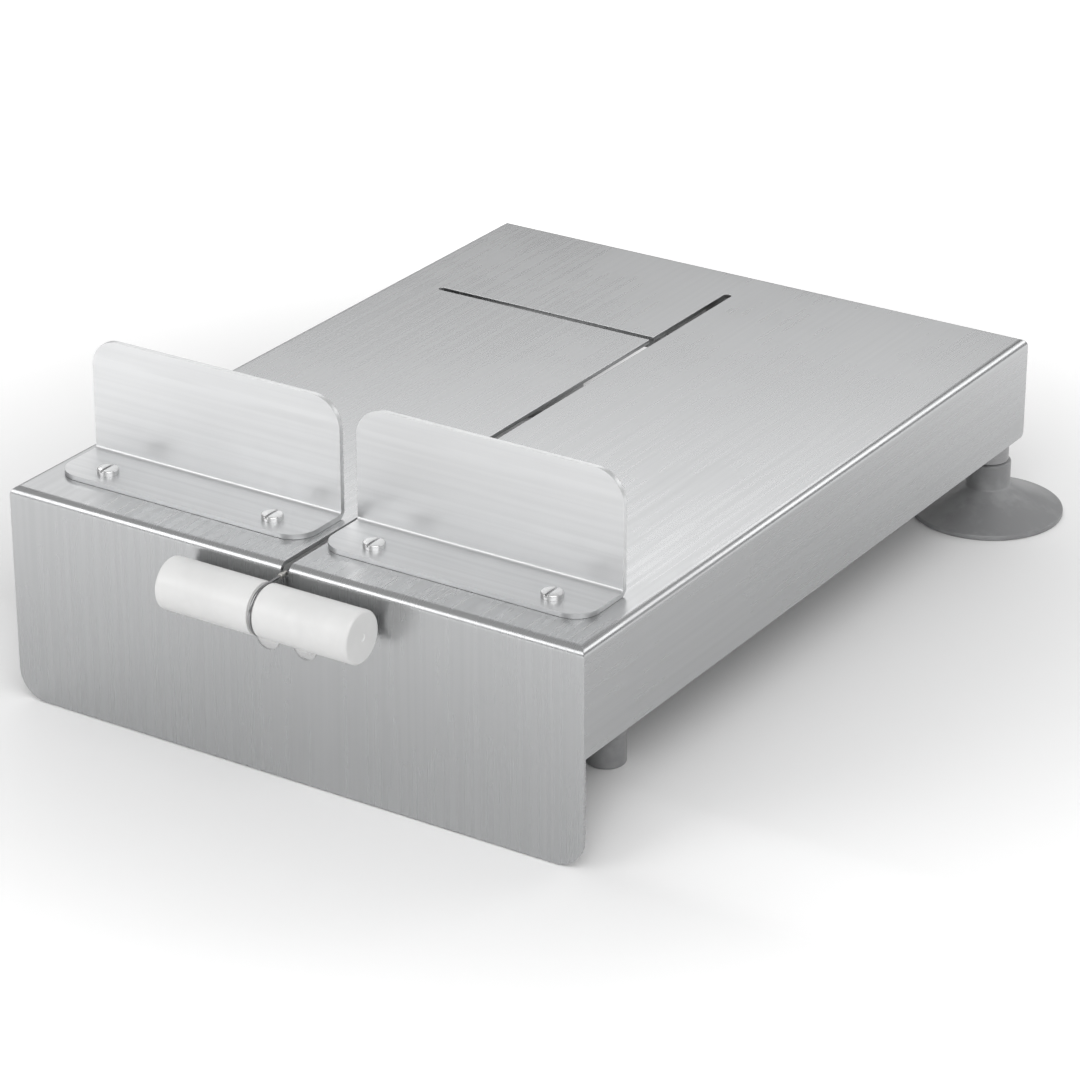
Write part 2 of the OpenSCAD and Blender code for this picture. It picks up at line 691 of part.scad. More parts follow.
// Sleeve that is crimped over the wire, where the loop round the handle closes
module front_ferrule() color(bright) from_plate() from_wire()
  translate([0, -wire_l, eye_r - loop_r]) difference() {
    translate([0, loop_reach - front_ferrule_l / 2, loop_r]) rotate([-90, 0, 0])
      cylinder(d = ferrule_d, h = front_ferrule_l);
    ferrule_bores(loop_r, loop_reach);
  }

module handle() color(light_plastic) from_plate() translate([0, handle_y, handle_z]) rotate([0, 90, 0])
  difference() {
    translate([0, 0, -handle_l / 2]) rotate_extrude() {
      translate([0, handle_edge_r]) square([handle_r, handle_l - 2 * handle_edge_r]);
      square([handle_r - handle_edge_r, handle_l]);
      for (z = [handle_edge_r, handle_l - handle_edge_r]) translate([handle_r - handle_edge_r, z])
        circle(handle_edge_r);
    }
    translate([0, 0, -groove_w / 2]) difference() {
      cylinder(r = handle_r + overrun, h = groove_w);
      translate([0, 0, -overrun]) cylinder(r = groove_r, h = groove_w + 2 * overrun);
    }
  }

base_plate();
left_fence();
right_fence();
fence_screws();
fence_washers();
fence_nuts();
apron_studs();
apron_stud_washers();
apron_stud_nuts();
anchor_bracket();
anchor_pin();
anchor_clip();
weld_studs();
front_left_leg();
front_right_leg();
rear_left_leg();
rear_right_leg();
front_left_foot();
front_right_foot();
rear_left_cup();
rear_right_cup();
cup_studs();
cutting_wire();
wire_eyelet();
rear_ferrule();
front_ferrule();
handle();
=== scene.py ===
"""Looks of a table-top wire cheese cutter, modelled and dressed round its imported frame.

Metres. X to the right, Y to the rear, Z up. Z = 0 is the apron's lower edge.
"""

from __future__ import annotations

import logging
import math
from contextlib import contextmanager
from dataclasses import dataclass
from enum import Enum
from typing import Any, Callable, ClassVar, Iterator, Sequence, Union

import bmesh
import bpy
from mathutils import Matrix, Vector

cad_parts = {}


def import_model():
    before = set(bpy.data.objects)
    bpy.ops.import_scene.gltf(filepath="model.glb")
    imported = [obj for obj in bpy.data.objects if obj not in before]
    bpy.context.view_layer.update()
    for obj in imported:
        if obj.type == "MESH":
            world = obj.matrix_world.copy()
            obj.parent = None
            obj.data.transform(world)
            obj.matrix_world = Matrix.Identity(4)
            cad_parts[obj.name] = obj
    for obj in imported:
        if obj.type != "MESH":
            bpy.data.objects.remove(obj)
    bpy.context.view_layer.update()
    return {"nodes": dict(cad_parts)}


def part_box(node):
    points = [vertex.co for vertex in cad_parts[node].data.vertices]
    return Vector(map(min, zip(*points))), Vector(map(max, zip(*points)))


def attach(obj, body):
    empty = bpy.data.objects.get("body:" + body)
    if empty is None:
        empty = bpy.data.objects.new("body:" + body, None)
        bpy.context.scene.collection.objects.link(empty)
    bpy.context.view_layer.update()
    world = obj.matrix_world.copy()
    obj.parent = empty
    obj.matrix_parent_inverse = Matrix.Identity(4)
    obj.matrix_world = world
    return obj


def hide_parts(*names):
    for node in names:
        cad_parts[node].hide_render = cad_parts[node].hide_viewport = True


LOG = logging.getLogger("cheese_cutter")
MM = 0.001
WHITE = (1.0, 1.0, 1.0, 1.0)
PALE = (0.9, 0.9, 0.9, 1.0)
Piece = bpy.types.Object
Socket = bpy.types.NodeSocket
Sockets = dict[str, Socket]
Triple = tuple[float, float, float]
Value = Union[float, tuple, Socket]


class Axis(Enum):
    """Axis that a turned piece is laid along, with the turn that brings Z onto it."""

    X = Matrix.Rotation(math.radians(90), 4, "Y")
    Y = Matrix.Rotation(math.radians(90), 4, "X")
    Z = Matrix.Identity(4)


class Body(Enum):
    """Bodies of the frame that the pieces ride on."""

    BASE = "base"
    WIRE = "wire"
    HANDLE = "handle"


class Slot(Enum):
    """Material slots of the record that the pieces take their finish from."""

    BASE_SHEET = "base_sheet"
    FENCE_SHEET = "fence_sheet"
    BRIGHT_STEEL = "bright_steel"
    LEG_STEEL = "leg_steel"
    WIRE_STEEL = "wire_steel"
    FERRULE_STEEL = "ferrule_steel"
    RUBBER = "rubber"
    HANDLE_PLASTIC = "handle_plastic"


@dataclass(frozen=True)
class Corner:
    """One corner of a turned profile."""

    out: float
    up: float
    rounding: float = 0.0

    @property
    def point(self) -> Vector:
        """Its distance from the axis and its height."""
        return Vector((self.out, self.up))


@dataclass(frozen=True)
class Solid:
    """Box of one solid of a CAD node."""

    low: Vector
    high: Vector

    @property
    def centre(self) -> Vector:
        """Middle of the box."""
        return (self.low + self.high) / 2

    @property
    def size(self) -> Vector:
        """Lengths of the box along X, Y and Z."""
        return self.high - self.low

    def across_and_along(self, axis: Axis) -> tuple[float, float]:
        """Size across a fastener that is laid along an axis, and its length."""
        return (self.size.z, self.size.y) if axis is Axis.Y else (self.size.y, self.size.z)


class Bench:
    """Modelling steps that the pieces share."""

    nodes: dict[str, Piece] = {}
    merge_distance = 0.001 * MM
    flat_angle = math.radians(0.5)
    bevel_angle = math.radians(40)
    bevel_faces = 2
    arc_steps = 6

    @staticmethod
    def pick(*pieces: Piece) -> None:
        """Selects only the given pieces and makes the first one active.

        Args:
            pieces: The pieces to select.
        """
        bpy.ops.object.select_all(action="DESELECT")
        for piece in pieces:
            piece.select_set(True)
        bpy.context.view_layer.objects.active = pieces[0]

    @staticmethod
    def new(name: str, data: bpy.types.ID) -> Piece:
        """Puts a new object in the scene.

        Args:
            name: Its name.
            data: Its mesh, curve, lamp or camera.

        Returns:
            The object.
        """
        piece = bpy.data.objects.new(name, data)
        bpy.context.scene.collection.objects.link(piece)
        return piece

    @staticmethod
    def start(primitive: Callable, **settings: Any) -> Piece:
        """Adds a primitive with nothing else selected.

        Args:
            primitive: Operator that adds it.
            settings: Values of the operator.

        Returns:
            The piece.
        """
        bpy.ops.object.select_all(action="DESELECT")
        primitive(**settings)
        return bpy.context.active_object

    @classmethod
    def bar(cls, radius: float, length: float, sides: int) -> Piece:
        """Adds a many-sided bar about the origin, along Z."""
        add = bpy.ops.mesh.primitive_cylinder_add
        return cls.start(add, vertices=sides, radius=radius, depth=length)

    @classmethod
    def settle(cls, piece: Piece, place: Matrix) -> Piece:
        """Moves a piece and puts its place into its mesh.

        Args:
            piece: The piece, modelled about the origin.
            place: Where it goes.

        Returns:
            The piece, with its object at the origin.
        """
        cls.pick(piece)
        piece.matrix_world = place
        bpy.ops.object.transform_apply(location=True, rotation=True, scale=True)
        return piece

    @classmethod
    def apply(cls, piece: Piece, kind: str, **settings: Any) -> Piece:
        """Adds a modifier to a piece and applies it.

        Args:
            piece: The piece.
            kind: Type of the modifier.
            settings: Values of the modifier.

        Returns:
            The piece.
        """
        cls.pick(piece)
        modifier = piece.modifiers.new(kind.lower(), kind)
        for name, value in settings.items():
            setattr(modifier, name, value)
        bpy.ops.object.modifier_apply(modifier=modifier.name)
        return piece

    @classmethod
    def soften(cls, piece: Piece, width: float) -> Piece:
        """Bevels the sharp edges of a piece to a width and shades it smooth between them."""
        return cls.shade(cls.apply(
            piece, "BEVEL", width=width, segments=cls.bevel_faces, limit_method="ANGLE",
            angle_limit=cls.bevel_angle, use_clamp_overlap=False, harden_normals=False,
        ))

    @classmethod
    def shade(cls, piece: Piece, angle: float = 30.0) -> Piece:
        """Shades a piece smooth where its faces meet at less than an angle.

        Args:
            piece: The piece.
            angle: The angle, in degrees.

        Returns:
            The piece.
        """
        cls.pick(piece)
        bpy.ops.object.shade_smooth_by_angle(angle=math.radians(angle))
        return cls.apply(piece, "WEIGHTED_NORMAL", keep_sharp=True, weight=100)

    @classmethod
    def cut(cls, piece: Piece, tool: Piece, operation: str = "DIFFERENCE") -> Piece:
        """Cuts a piece with a tool, or keeps what they share, and deletes the tool.

        Args:
            piece: The piece.
            tool: A closed mesh.
            operation: Name of the Boolean operation.

        Returns:
            The piece.
        """
        cls.apply(piece, "BOOLEAN", object=tool, operation=operation, solver="EXACT")
        bpy.data.objects.remove(tool)
        return piece

    @classmethod
    def join(cls, *pieces: Piece) -> Piece:
        """Joins several pieces into the first one.

        Args:
            pieces: The pieces.

        Returns:
            The joined piece.
        """
        cls.pick(*pieces)
        bpy.ops.object.join()
        return pieces[0]

    @classmethod
    def repeat(cls, pattern: Piece, places: Sequence[Matrix]) -> Piece:
        """Copies a piece to several places, each copy with its own mesh, and joins them.

        Args:
            pattern: The piece, modelled about the origin. It is used up.
            places: Where the copies go.

        Returns:
            The joined piece.
        """
        copies = [cls.settle(cls.new("copy", pattern.data.copy()), place) for place in places]
        bpy.data.objects.remove(pattern)
        return cls.join(*copies)

    @classmethod
    @contextmanager
    def editing(cls, piece: Piece) -> Iterator[None]:
        """Keeps a piece in edit mode for a while, with all of it selected at first.

        Args:
            piece: The piece.
        """
        cls.pick(piece)
        bpy.ops.object.mode_set(mode="EDIT")
        bpy.ops.mesh.select_all(action="SELECT")
        yield
        bpy.ops.object.mode_set(mode="OBJECT")

    @classmethod
    def merge(cls, piece: Piece) -> Piece:
        """Merges a piece's doubled points and turns its faces outwards.

        Args:
            piece: The piece.

        Returns:
            The piece.
        """
        with cls.editing(piece):
            bpy.ops.mesh.remove_doubles(threshold=cls.merge_distance)
            bpy.ops.mesh.normals_make_consistent(inside=False)
        return piece

    @classmethod
    def copy_of(cls, node: str) -> Piece:
        """Copies a CAD node, welds its loose triangles and clears the edges on its flat faces.

        Args:
            node: Name of the CAD node.

        Returns:
            The new piece.
        """
        piece = cls.new("copy", cls.nodes[node].data.copy())
        with cls.editing(piece):
            bpy.ops.mesh.remove_doubles(threshold=cls.merge_distance)
            bpy.ops.mesh.customdata_custom_splitnormals_clear()
            bpy.ops.mesh.dissolve_limited(angle_limit=cls.flat_angle)
        return piece

    @staticmethod
    def mirrored(corners: Sequence[Corner]) -> list[Corner]:
        """Adds to the upper half of a profile its image below Z = 0."""
        return [*corners, *(Corner(c.out, -c.up, c.rounding) for c in reversed(corners))]

    @classmethod
    def rounded(cls, corners: Sequence[Corner]) -> list[tuple[float, float]]:
        """Turns a profile's corners into points, with an arc at each corner that has a rounding.

        Args:
            corners: Corners of an open profile.

        Returns:
            Points of the profile, each a distance from the axis and a height.
        """
        points: list[tuple[float, float]] = []
        for index, corner in enumerate(corners):
            if not corner.rounding:
                points.append((corner.out, corner.up))
                continue
            here = corner.point
            before = (corners[index - 1].point - here).normalized()
            after = (corners[index + 1].point - here).normalized()
            half = before.angle(after) / 2
            middle = here + (before + after).normalized() * corner.rounding / math.sin(half)
            start = here + before * corner.rounding / math.tan(half) - middle
            end = here + after * corner.rounding / math.tan(half) - middle
            sweep = start.angle_signed(end)
            for step in range(cls.arc_steps + 1):
                turn = Matrix.Rotation(-sweep * step / cls.arc_steps, 2)
                points.append(tuple(middle + turn @ start))
        return points

    @classmethod
    def turned(cls, corners: Sequence[Corner], sides: int = 96) -> Piece:
        """Spins a profile round Z, as on a lathe.

        Args:
            corners: Corners of the profile, from axis to axis.
            sides: Faces round the axis.

        Returns:
            A closed piece about the origin.
        """
        points = cls.rounded(corners)
        piece = cls.start(bpy.ops.mesh.primitive_plane_add, size=MM)
        with cls.editing(piece):
            bpy.ops.mesh.merge(type="CENTER")
            bpy.ops.transform.translate(value=(points[0][0], 0, points[0][1]))
            for (out, up), (last_out, last_up) in zip(points[1:], points):
                step = (out - last_out, 0, up - last_up)
                bpy.ops.mesh.extrude_vertices_move(TRANSFORM_OT_translate={"value": step})
            bpy.ops.mesh.select_all(action="SELECT")
            bpy.ops.mesh.spin(
                steps=sides, angle=math.tau, center=(0, 0, 0), axis=(0, 0, 1), use_auto_merge=True
            )
        return cls.shade(cls.merge(piece))

    @classmethod
    def solids(cls, node: str) -> list[Solid]:
        """Finds the boxes of a CAD node's separate solids.

        Args:
            node: Name of the CAD node.

        Returns:
            The boxes, from left to right and then from front to rear.
        """
        mesh = bmesh.new()
        mesh.from_mesh(cls.nodes[node].data)
        bmesh.ops.remove_doubles(mesh, verts=mesh.verts, dist=cls.merge_distance)
        left, found = set(mesh.verts), []
        while left:
            front, island = [left.pop()], []
            while front:
                vertex = front.pop()
                island.append(vertex.co.copy())
                near = {edge.other_vert(vertex) for edge in vertex.link_edges} & left
                left -= near
                front.extend(near)
            found.append(Solid(
                Vector([min(p[i] for p in island) for i in range(3)]),
                Vector([max(p[i] for p in island) for i in range(3)]),
            ))
        mesh.free()
        return sorted(found, key=lambda solid: (round(solid.centre.x, 4), solid.centre.y))


class Graph:
    """Places and links the nodes of a material, of the world or of a node group."""

    def __init__(self, tree: bpy.types.NodeTree) -> None:
        """Starts on an emptied node tree."""
        self.tree = tree
        self.tree.nodes.clear()

    def put(self, target: Socket, value: Value) -> None:
        """Links a socket to another one, or gives it a value.

        Args:
            target: Input socket.
            value: Output socket, number or tuple.
        """
        if isinstance(value, bpy.types.NodeSocket):
            self.tree.links.new(value, target)
        else:
            target.default_value = value

    def add(
        self, kind: str, inputs: dict[Any, Value] | None = None, **settings: Any
    ) -> bpy.types.Node:
        """Adds a node.

        Args:
            kind: Type of the node, without its ShaderNode prefix.
            inputs: Values or sockets by the name or number of an input.
            settings: Values of the node's own properties.

        Returns:
            The node.
        """
        node = self.tree.nodes.new("ShaderNode" + kind)
        for name, value in settings.items():
            setattr(node, name, value)
        for key, value in (inputs or {}).items():
            self.put(node.inputs[key], value)
        return node

    def math(self, operation: str, first: Value, second: Value = 0.0) -> Socket:
        """Adds a Math node for one or two values."""
        return self.add("Math", {0: first, 1: second}, operation=operation).outputs[0]

    def ramp(
        self, value: Value, low: float, high: float, to_low: float = 0.0, to_high: float = 1.0
    ) -> Socket:
        """Maps a value smoothly from the range of low to high to that of to_low to to_high."""
        inputs = {0: value, 1: low, 2: high, 3: to_low, 4: to_high}
        return self.add("MapRange", inputs, interpolation_type="SMOOTHSTEP").outputs[0]

    def noise(
        self, vector: Socket, scale: Value, detail: float = 3.0, roughness: float = 0.5
    ) -> Socket:
        """Adds noise about 0.5, whose scale is in waves in a metre."""
        inputs = {"Vector": vector, "Scale": scale, "Detail": detail, "Roughness": roughness}
        return self.add("TexNoise", inputs).outputs[0]

    def line_noise(self, place: Socket, detail: float) -> Socket:
        """Adds noise about 0.5 that changes in one direction only."""
        inputs = {"W": place, "Scale": 1.0, "Detail": detail, "Roughness": 0.5}
        return self.add("TexNoise", inputs, noise_dimensions="1D").outputs[0]


Recipe = Callable[[Graph, Sockets], Sockets]


class Effects:
    """Node groups that more than one material uses, and the recipes of their nodes."""

    @staticmethod
    def group(recipe: Recipe, labels: Sequence[str]) -> bpy.types.NodeTree:
        """Finds the group with its recipe's name, or makes it.

        Args:
            recipe: Makes the group's nodes from its inputs, and returns its outputs, all numbers.
            labels: Names of its inputs. Vector is a vector, and the rest are numbers.

        Returns:
            The group.
        """
        if recipe.__name__ in bpy.data.node_groups:
            return bpy.data.node_groups[recipe.__name__]
        tree = bpy.data.node_groups.new(recipe.__name__, "ShaderNodeTree")
        graph = Graph(tree)
        for label in labels:
            kind = "NodeSocketVector" if label == "Vector" else "NodeSocketFloat"
            tree.interface.new_socket(label, in_out="INPUT", socket_type=kind)
        source = tree.nodes.new("NodeGroupInput")
        results = recipe(graph, {label: source.outputs[label] for label in labels})
        for label in results:
            tree.interface.new_socket(label, in_out="OUTPUT", socket_type="NodeSocketFloat")
        target = tree.nodes.new("NodeGroupOutput")
        for label, socket in results.items():
            tree.links.new(socket, target.inputs[label])
        return tree

    @staticmethod
    def brushed_grain(graph: Graph, given: Sockets) -> Sockets:
        """Makes brushed lines. Vector holds the places across and along them.

        Args:
            graph: Graph of the group.
            given: Its inputs.

        Returns:
            Lines, which are fine, and Streaks, which are broad.
        """
        streaks_per_line, patches_per_metre, next_line = 0.16, 90.0, 517.3
        across, along, _ = graph.add("SeparateXYZ", {0: given["Vector"]}).outputs
        fine = graph.math("MULTIPLY", across, given["Lines Per Metre"])
        broad = graph.math("MULTIPLY", fine, streaks_per_line)
        patches = graph.add("CombineXYZ", {
            0: graph.math("MULTIPLY", across, patches_per_metre),
            1: graph.math("DIVIDE", along, given["Line Length"]),
        }).outputs[0]
        share = graph.ramp(graph.noise(patches, scale=1.0, detail=1.0), low=0.35, high=0.65)
        results = {}
        for label, place, detail in (("Lines", fine, 1.0), ("Streaks", broad, 3.0)):
            first = graph.line_noise(place, detail)
            second = graph.line_noise(graph.math("ADD", place, next_line), detail)
            step = graph.math("MULTIPLY", graph.math("SUBTRACT", second, first), share)
            results[label] = graph.math("ADD", first, step)
        return results

    @staticmethod
    def smudges(graph: Graph, given: Sockets) -> Sockets:
        """Makes soft patches, as wiping and hands leave.

        Args:
            graph: Graph of the group.
            given: Its inputs.

        Returns:
            Mask, which is 1 in the patches.
        """
        finer_scale, finer_share = 5.3, 0.25
        scale = graph.math("MULTIPLY", given["Scale"], finer_scale)
        broad = graph.noise(given["Vector"], given["Scale"], roughness=0.55)
        finer = graph.noise(given["Vector"], scale, detail=2.0, roughness=0.6)
        both = graph.math("ADD", broad, graph.math("MULTIPLY", finer, finer_share))
        return {"Mask": graph.ramp(both, low=0.55, high=0.82)}

    @staticmethod
    def hairline_scratches(graph: Graph, given: Sockets) -> Sockets:
        """Makes sparse hairline scratches that lean two ways.

        Args:
            graph: Graph of the group.
            given: Its inputs.

        Returns:
            Mask, which is up to Amount in the scratches.
        """
        stretch, gates_per_metre = (1400.0, 22.0, 1.0), 14.0
        masks = []
        for turn, offset in ((0.5, 0.0), (-0.8, 3.7)):
            place = graph.add("Mapping", {
                "Vector": given["Vector"], "Location": (offset, offset, 0.0),
                "Rotation": (0.0, 0.0, turn), "Scale": stretch,
            }).outputs[0]
            masks.append(graph.ramp(graph.noise(place, scale=1.0, detail=1.0), low=0.74, high=0.8))
        gate = graph.noise(given["Vector"], gates_per_metre, detail=2.0)
        open_gate = graph.ramp(gate, low=0.45, high=0.62)
        gated = graph.math("MULTIPLY", graph.math("MAXIMUM", *masks), open_gate)
        return {"Mask": graph.math("MULTIPLY", gated, given["Amount"])}

    @staticmethod
    def moulded_skin(graph: Graph, given: Sockets) -> Sockets:
        """Makes the fine pebbled skin of moulded plastic and rubber.

        Args:
            graph: Graph of the group.
            given: Its inputs.

        Returns:
            Height of the skin.
        """
        finer_scale, finer_share = 2.6, 0.4
        inputs = {"Vector": given["Vector"], "Scale": given["Scale"]}
        cells = graph.add("TexVoronoi", inputs, feature="SMOOTH_F1").outputs[0]
        scale = graph.math("MULTIPLY", given["Scale"], finer_scale)
        fine = graph.noise(given["Vector"], scale, detail=2.0)
        return {"Height": graph.math("ADD", cells, graph.math("MULTIPLY", fine, finer_share))}


@dataclass(frozen=True)
class Surface:
    """A material that is being made, with what its finish works on.

    The place and the normal are in object coordinates.
    """

    graph: Graph
    shader: bpy.types.Node
    colour: Triple
    place: Socket
    normal: Socket

    def effect(
        self, recipe: Recipe, numbers: dict[str, float], vector: Socket | None = None
    ) -> Sequence[Socket]:
        """Places a group.

        Args:
            recipe: Recipe of the group.
            numbers: Values by the name of an input.
            vector: What the group reads as its Vector, if not the place.

        Returns:
            The outputs of the group's node, by number or name.
        """
        inputs = {"Vector": vector or self.place, **numbers}
        tree = Effects.group(recipe, list(inputs))
        return self.graph.add("Group", inputs, node_tree=tree).outputs

    def tint(self, mask: Socket, change: float) -> None:
        """Makes the colour lighter or darker where a mask is high.

        Args:
            mask: The mask.
            change: Share by which the colour changes.
        """
        other = tuple(min(1.0, c * (1 + change)) for c in self.colour)
        inputs = {0: mask, 6: (*self.colour, 1.0), 7: (*other, 1.0)}
        mixed = self.graph.add("Mix", inputs, data_type="RGBA").outputs[2]
        self.graph.put(self.shader.inputs["Base Color"], mixed)

    def roughen(self, least: float, *changes: tuple[Socket, float]) -> None:
        """Makes the surface rougher where masks are high.

        Args:
            least: Roughness where all the masks are 0.
            changes: The masks, each with what it adds where it is 1.
        """
        rough: Value = least
        for mask, change in changes:
            rough = self.graph.math("ADD", rough, self.graph.math("MULTIPLY", mask, change))
        self.graph.put(self.shader.inputs["Roughness"], rough)

    def bump(self, height: Socket, depth: float) -> None:
        """Feeds a height to the shader's normal. The depth is what a height of 1 is in metres."""
        inputs = {"Height": height, "Distance": depth, "Strength": 1.0}
        self.graph.put(self.shader.inputs["Normal"], self.graph.add("Bump", inputs).outputs[0])


@dataclass(frozen=True)
class Finish:
    """A finish with a Principled shader, whose uniform values sit on the shader's own sockets."""

    name: str
    colour: Triple
    roughness: float
    slot: Slot
    metallic: ClassVar[float] = 1.0

    def material(self) -> bpy.types.Material:
        """Finds the finish's material, or makes it.

        Returns:
            The material.
        """
        made = bpy.data.materials.get(self.name)
        if made:
            return made
        material = bpy.data.materials.new(self.name)
        material.use_nodes = True
        graph = Graph(material.node_tree)
        shader = graph.add("BsdfPrincipled", {
            "Base Color": (*self.colour, 1.0), "Roughness": self.roughness,
            "Metallic": self.metallic,
        })
        graph.add("OutputMaterial", {0: shader.outputs[0]})
        where = graph.add("TexCoord").outputs
        self.dress(Surface(graph, shader, self.colour, where["Object"], where["Normal"]))
        return material

    def dress(self, surface: Surface) -> None:
        """Adds what varies over the surface."""
        raise NotImplementedError


class Grain(Enum):
    """Which way the brushed lines run on a folded sheet."""

    LENGTHWISE = "from front to rear, down the apron and along the sides"
    CROSSWISE = "from left to right"


@dataclass(frozen=True)
class BrushedSheet(Finish):
    """Brushed stainless sheet."""

    grain: Grain = Grain.LENGTHWISE
    lines: float = 1700.0
    line_length: float = 0.07
    line_depth: float = 0.0009 * MM
    streak_change: float = -0.04
    streak_roughness: float = 0.04
    smudge_scale: float = 9.0
    smudge_roughness: float = 0.03
    scratch_amount: float = 0.5
    scratch_depth_share: float = 0.5

    def dress(self, surface: Surface) -> None:
        """Adds the brushed lines, wiped patches and hairline scratches.

        Args:
            surface: The material.
        """
        graph = surface.graph
        across, along = self.directions(surface)
        flat = graph.add("CombineXYZ", {0: across, 1: along}).outputs[0]
        numbers = {"Lines Per Metre": self.lines, "Line Length": self.line_length}
        grain = surface.effect(Effects.brushed_grain, numbers, flat)
        smudge = surface.effect(Effects.smudges, {"Scale": self.smudge_scale})[0]
        scratch = surface.effect(
            Effects.hairline_scratches, {"Amount": self.scratch_amount}, flat)[0]
        streaks = graph.ramp(grain["Streaks"], low=0.3, high=0.7)
        surface.tint(streaks, self.streak_change)
        surface.roughen(
            self.roughness - self.streak_roughness / 2,
            (streaks, self.streak_roughness), (smudge, self.smudge_roughness))
        scratched = graph.math("MULTIPLY", scratch, self.scratch_depth_share)
        surface.bump(graph.math("SUBTRACT", grain["Lines"], scratched), self.line_depth)

    def directions(self, surface: Surface) -> tuple[Socket, Socket]:
        """Unfolds the sheet's faces.

        Args:
            surface: The material.

        Returns:
            The places across and along the brushed lines.
        """
        graph = surface.graph
        x, y, z = graph.add("SeparateXYZ", {0: surface.place}).outputs
        if self.grain is Grain.CROSSWISE:
            return graph.math("ADD", y, z), x
        out = graph.math("ABSOLUTE", graph.add("SeparateXYZ", {0: surface.normal}).outputs[0])
        side = graph.math("GREATER_THAN", out, math.sqrt(0.5))
        front = graph.math("SUBTRACT", 1.0, side)
        across = graph.math("ADD", x, graph.math("MULTIPLY", z, side))
        return across, graph.math("ADD", y, graph.math("MULTIPLY", z, front))


@dataclass(frozen=True)
class BrightSteel(Finish):
    """Machined or drawn steel, with fine marks in no one direction."""

    mark_scale: float = 900.0
    mark_depth: float = 0.004 * MM
    patch_scale: float = 60.0
    patch_change: float = -0.12
    patch_roughness: float = 0.08

    def dress(self, surface: Surface) -> None:
        """Adds fine marks and a slight change of tone.

        Args:
            surface: The material.
        """
        marks = surface.graph.noise(surface.place, self.mark_scale, detail=4.0, roughness=0.7)
        patches = surface.effect(Effects.smudges, {"Scale": self.patch_scale})[0]
        surface.tint(patches, self.patch_change)
        surface.roughen(self.roughness, (patches, self.patch_roughness))
        surface.bump(marks, self.mark_depth)


@dataclass(frozen=True)
class TurnedSteel(Finish):
    """Steel with the rings of a lathe round an upright axis."""

    rings: float = 2200.0
    ring_depth: float = 0.004 * MM
    ring_change: float = -0.1
    ring_roughness: float = 0.1
    round_axis_share: float = 0.02

    def dress(self, surface: Surface) -> None:
        """Adds the lathe's rings.

        Args:
            surface: The material.
        """
        squash = (self.round_axis_share, self.round_axis_share, 1.0)
        flat = surface.graph.add("VectorMath", {0: surface.place, 1: squash}, operation="MULTIPLY")
        rings = surface.graph.noise(flat.outputs[0], self.rings, roughness=0.7)
        surface.tint(rings, self.ring_change)
        surface.roughen(self.roughness - self.ring_roughness / 2, (rings, self.ring_roughness))
        surface.bump(rings, self.ring_depth)


@dataclass(frozen=True)
class Moulded(Finish):
    """Moulded rubber or plastic, with a fine skin and a little dust or handling."""

    skin_scale: float = 2500.0
    skin_depth: float = 0.01 * MM
    wear_change: float = 0.3
    wear_roughness: float = 0.1
    wear_scale: float = 45.0
    metallic: ClassVar[float] = 0.0

    def dress(self, surface: Surface) -> None:
        """Adds the skin, and patches that have rubbed or gathered dust.

        Args:
            surface: The material.
        """
        skin = surface.effect(Effects.moulded_skin, {"Scale": self.skin_scale})[0]
        worn = surface.effect(Effects.smudges, {"Scale": self.wear_scale})[0]
        surface.tint(worn, self.wear_change)
        surface.roughen(self.roughness, (worn, self.wear_roughness))
        surface.bump(skin, self.skin_depth)


PLATE_FINISH = BrushedSheet(
    "brushed_plate", (0.465, 0.47, 0.475), 0.27, Slot.BASE_SHEET, scratch_amount=0.35)
FENCE_FINISH = BrushedSheet(
    "brushed_fence", (0.695, 0.7, 0.705), 0.42, Slot.FENCE_SHEET, grain=Grain.CROSSWISE,
    line_depth=0.0013 * MM, streak_change=-0.05)
BRIGHT_FINISH = BrightSteel("bright_fastener", (0.72, 0.72, 0.72), 0.2, Slot.BRIGHT_STEEL)
SADDLE_FINISH = BrightSteel("welded_saddle", (0.55, 0.55, 0.55), 0.34, Slot.BASE_SHEET)
WELD_FINISH = BrightSteel("weld_bead", (0.5, 0.49, 0.47), 0.38, Slot.BASE_SHEET, mark_scale=700.0)
LEG_FINISH = TurnedSteel("turned_leg", (0.34, 0.34, 0.345), 0.28, Slot.LEG_STEEL)
WIRE_FINISH = BrightSteel(
    "drawn_wire", (0.3, 0.3, 0.305), 0.22, Slot.WIRE_STEEL, mark_scale=2500.0)
FERRULE_FINISH = BrightSteel("pressed_ferrule", (0.62, 0.61, 0.58), 0.3, Slot.FERRULE_STEEL)
RUBBER_FINISH = Moulded("dark_rubber", (0.24, 0.242, 0.246), 0.32, Slot.RUBBER)
HANDLE_FINISH = Moulded(
    "light_grip", (0.76, 0.76, 0.755), 0.36, Slot.HANDLE_PLASTIC, skin_scale=1800.0,
    skin_depth=0.006 * MM, wear_change=-0.05, wear_scale=30.0)


def coat(piece: Piece, finish: Finish) -> None:
    """Gives a piece its finish alone."""
    piece.data.materials.clear()
    piece.data.materials.append(finish.material())


def dress(name: str, piece: Piece, finish: Finish, body: Body, *nodes: str) -> None:
    """Names a new piece, and gives it its finish, its body and the nodes that it stands for.

    Args:
        name: Its name.
        piece: The piece.
        finish: Its finish.
        body: The body that it rides on.
        nodes: The CAD nodes that it replaces.
    """
    piece.name = name
    piece.data.name = name
    coat(piece, finish)
    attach(piece, body.value)
    if nodes:
        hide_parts(*nodes)
    LOG.info("%s: %d faces, rides on %s", name, len(piece.data.polygons), body.value)


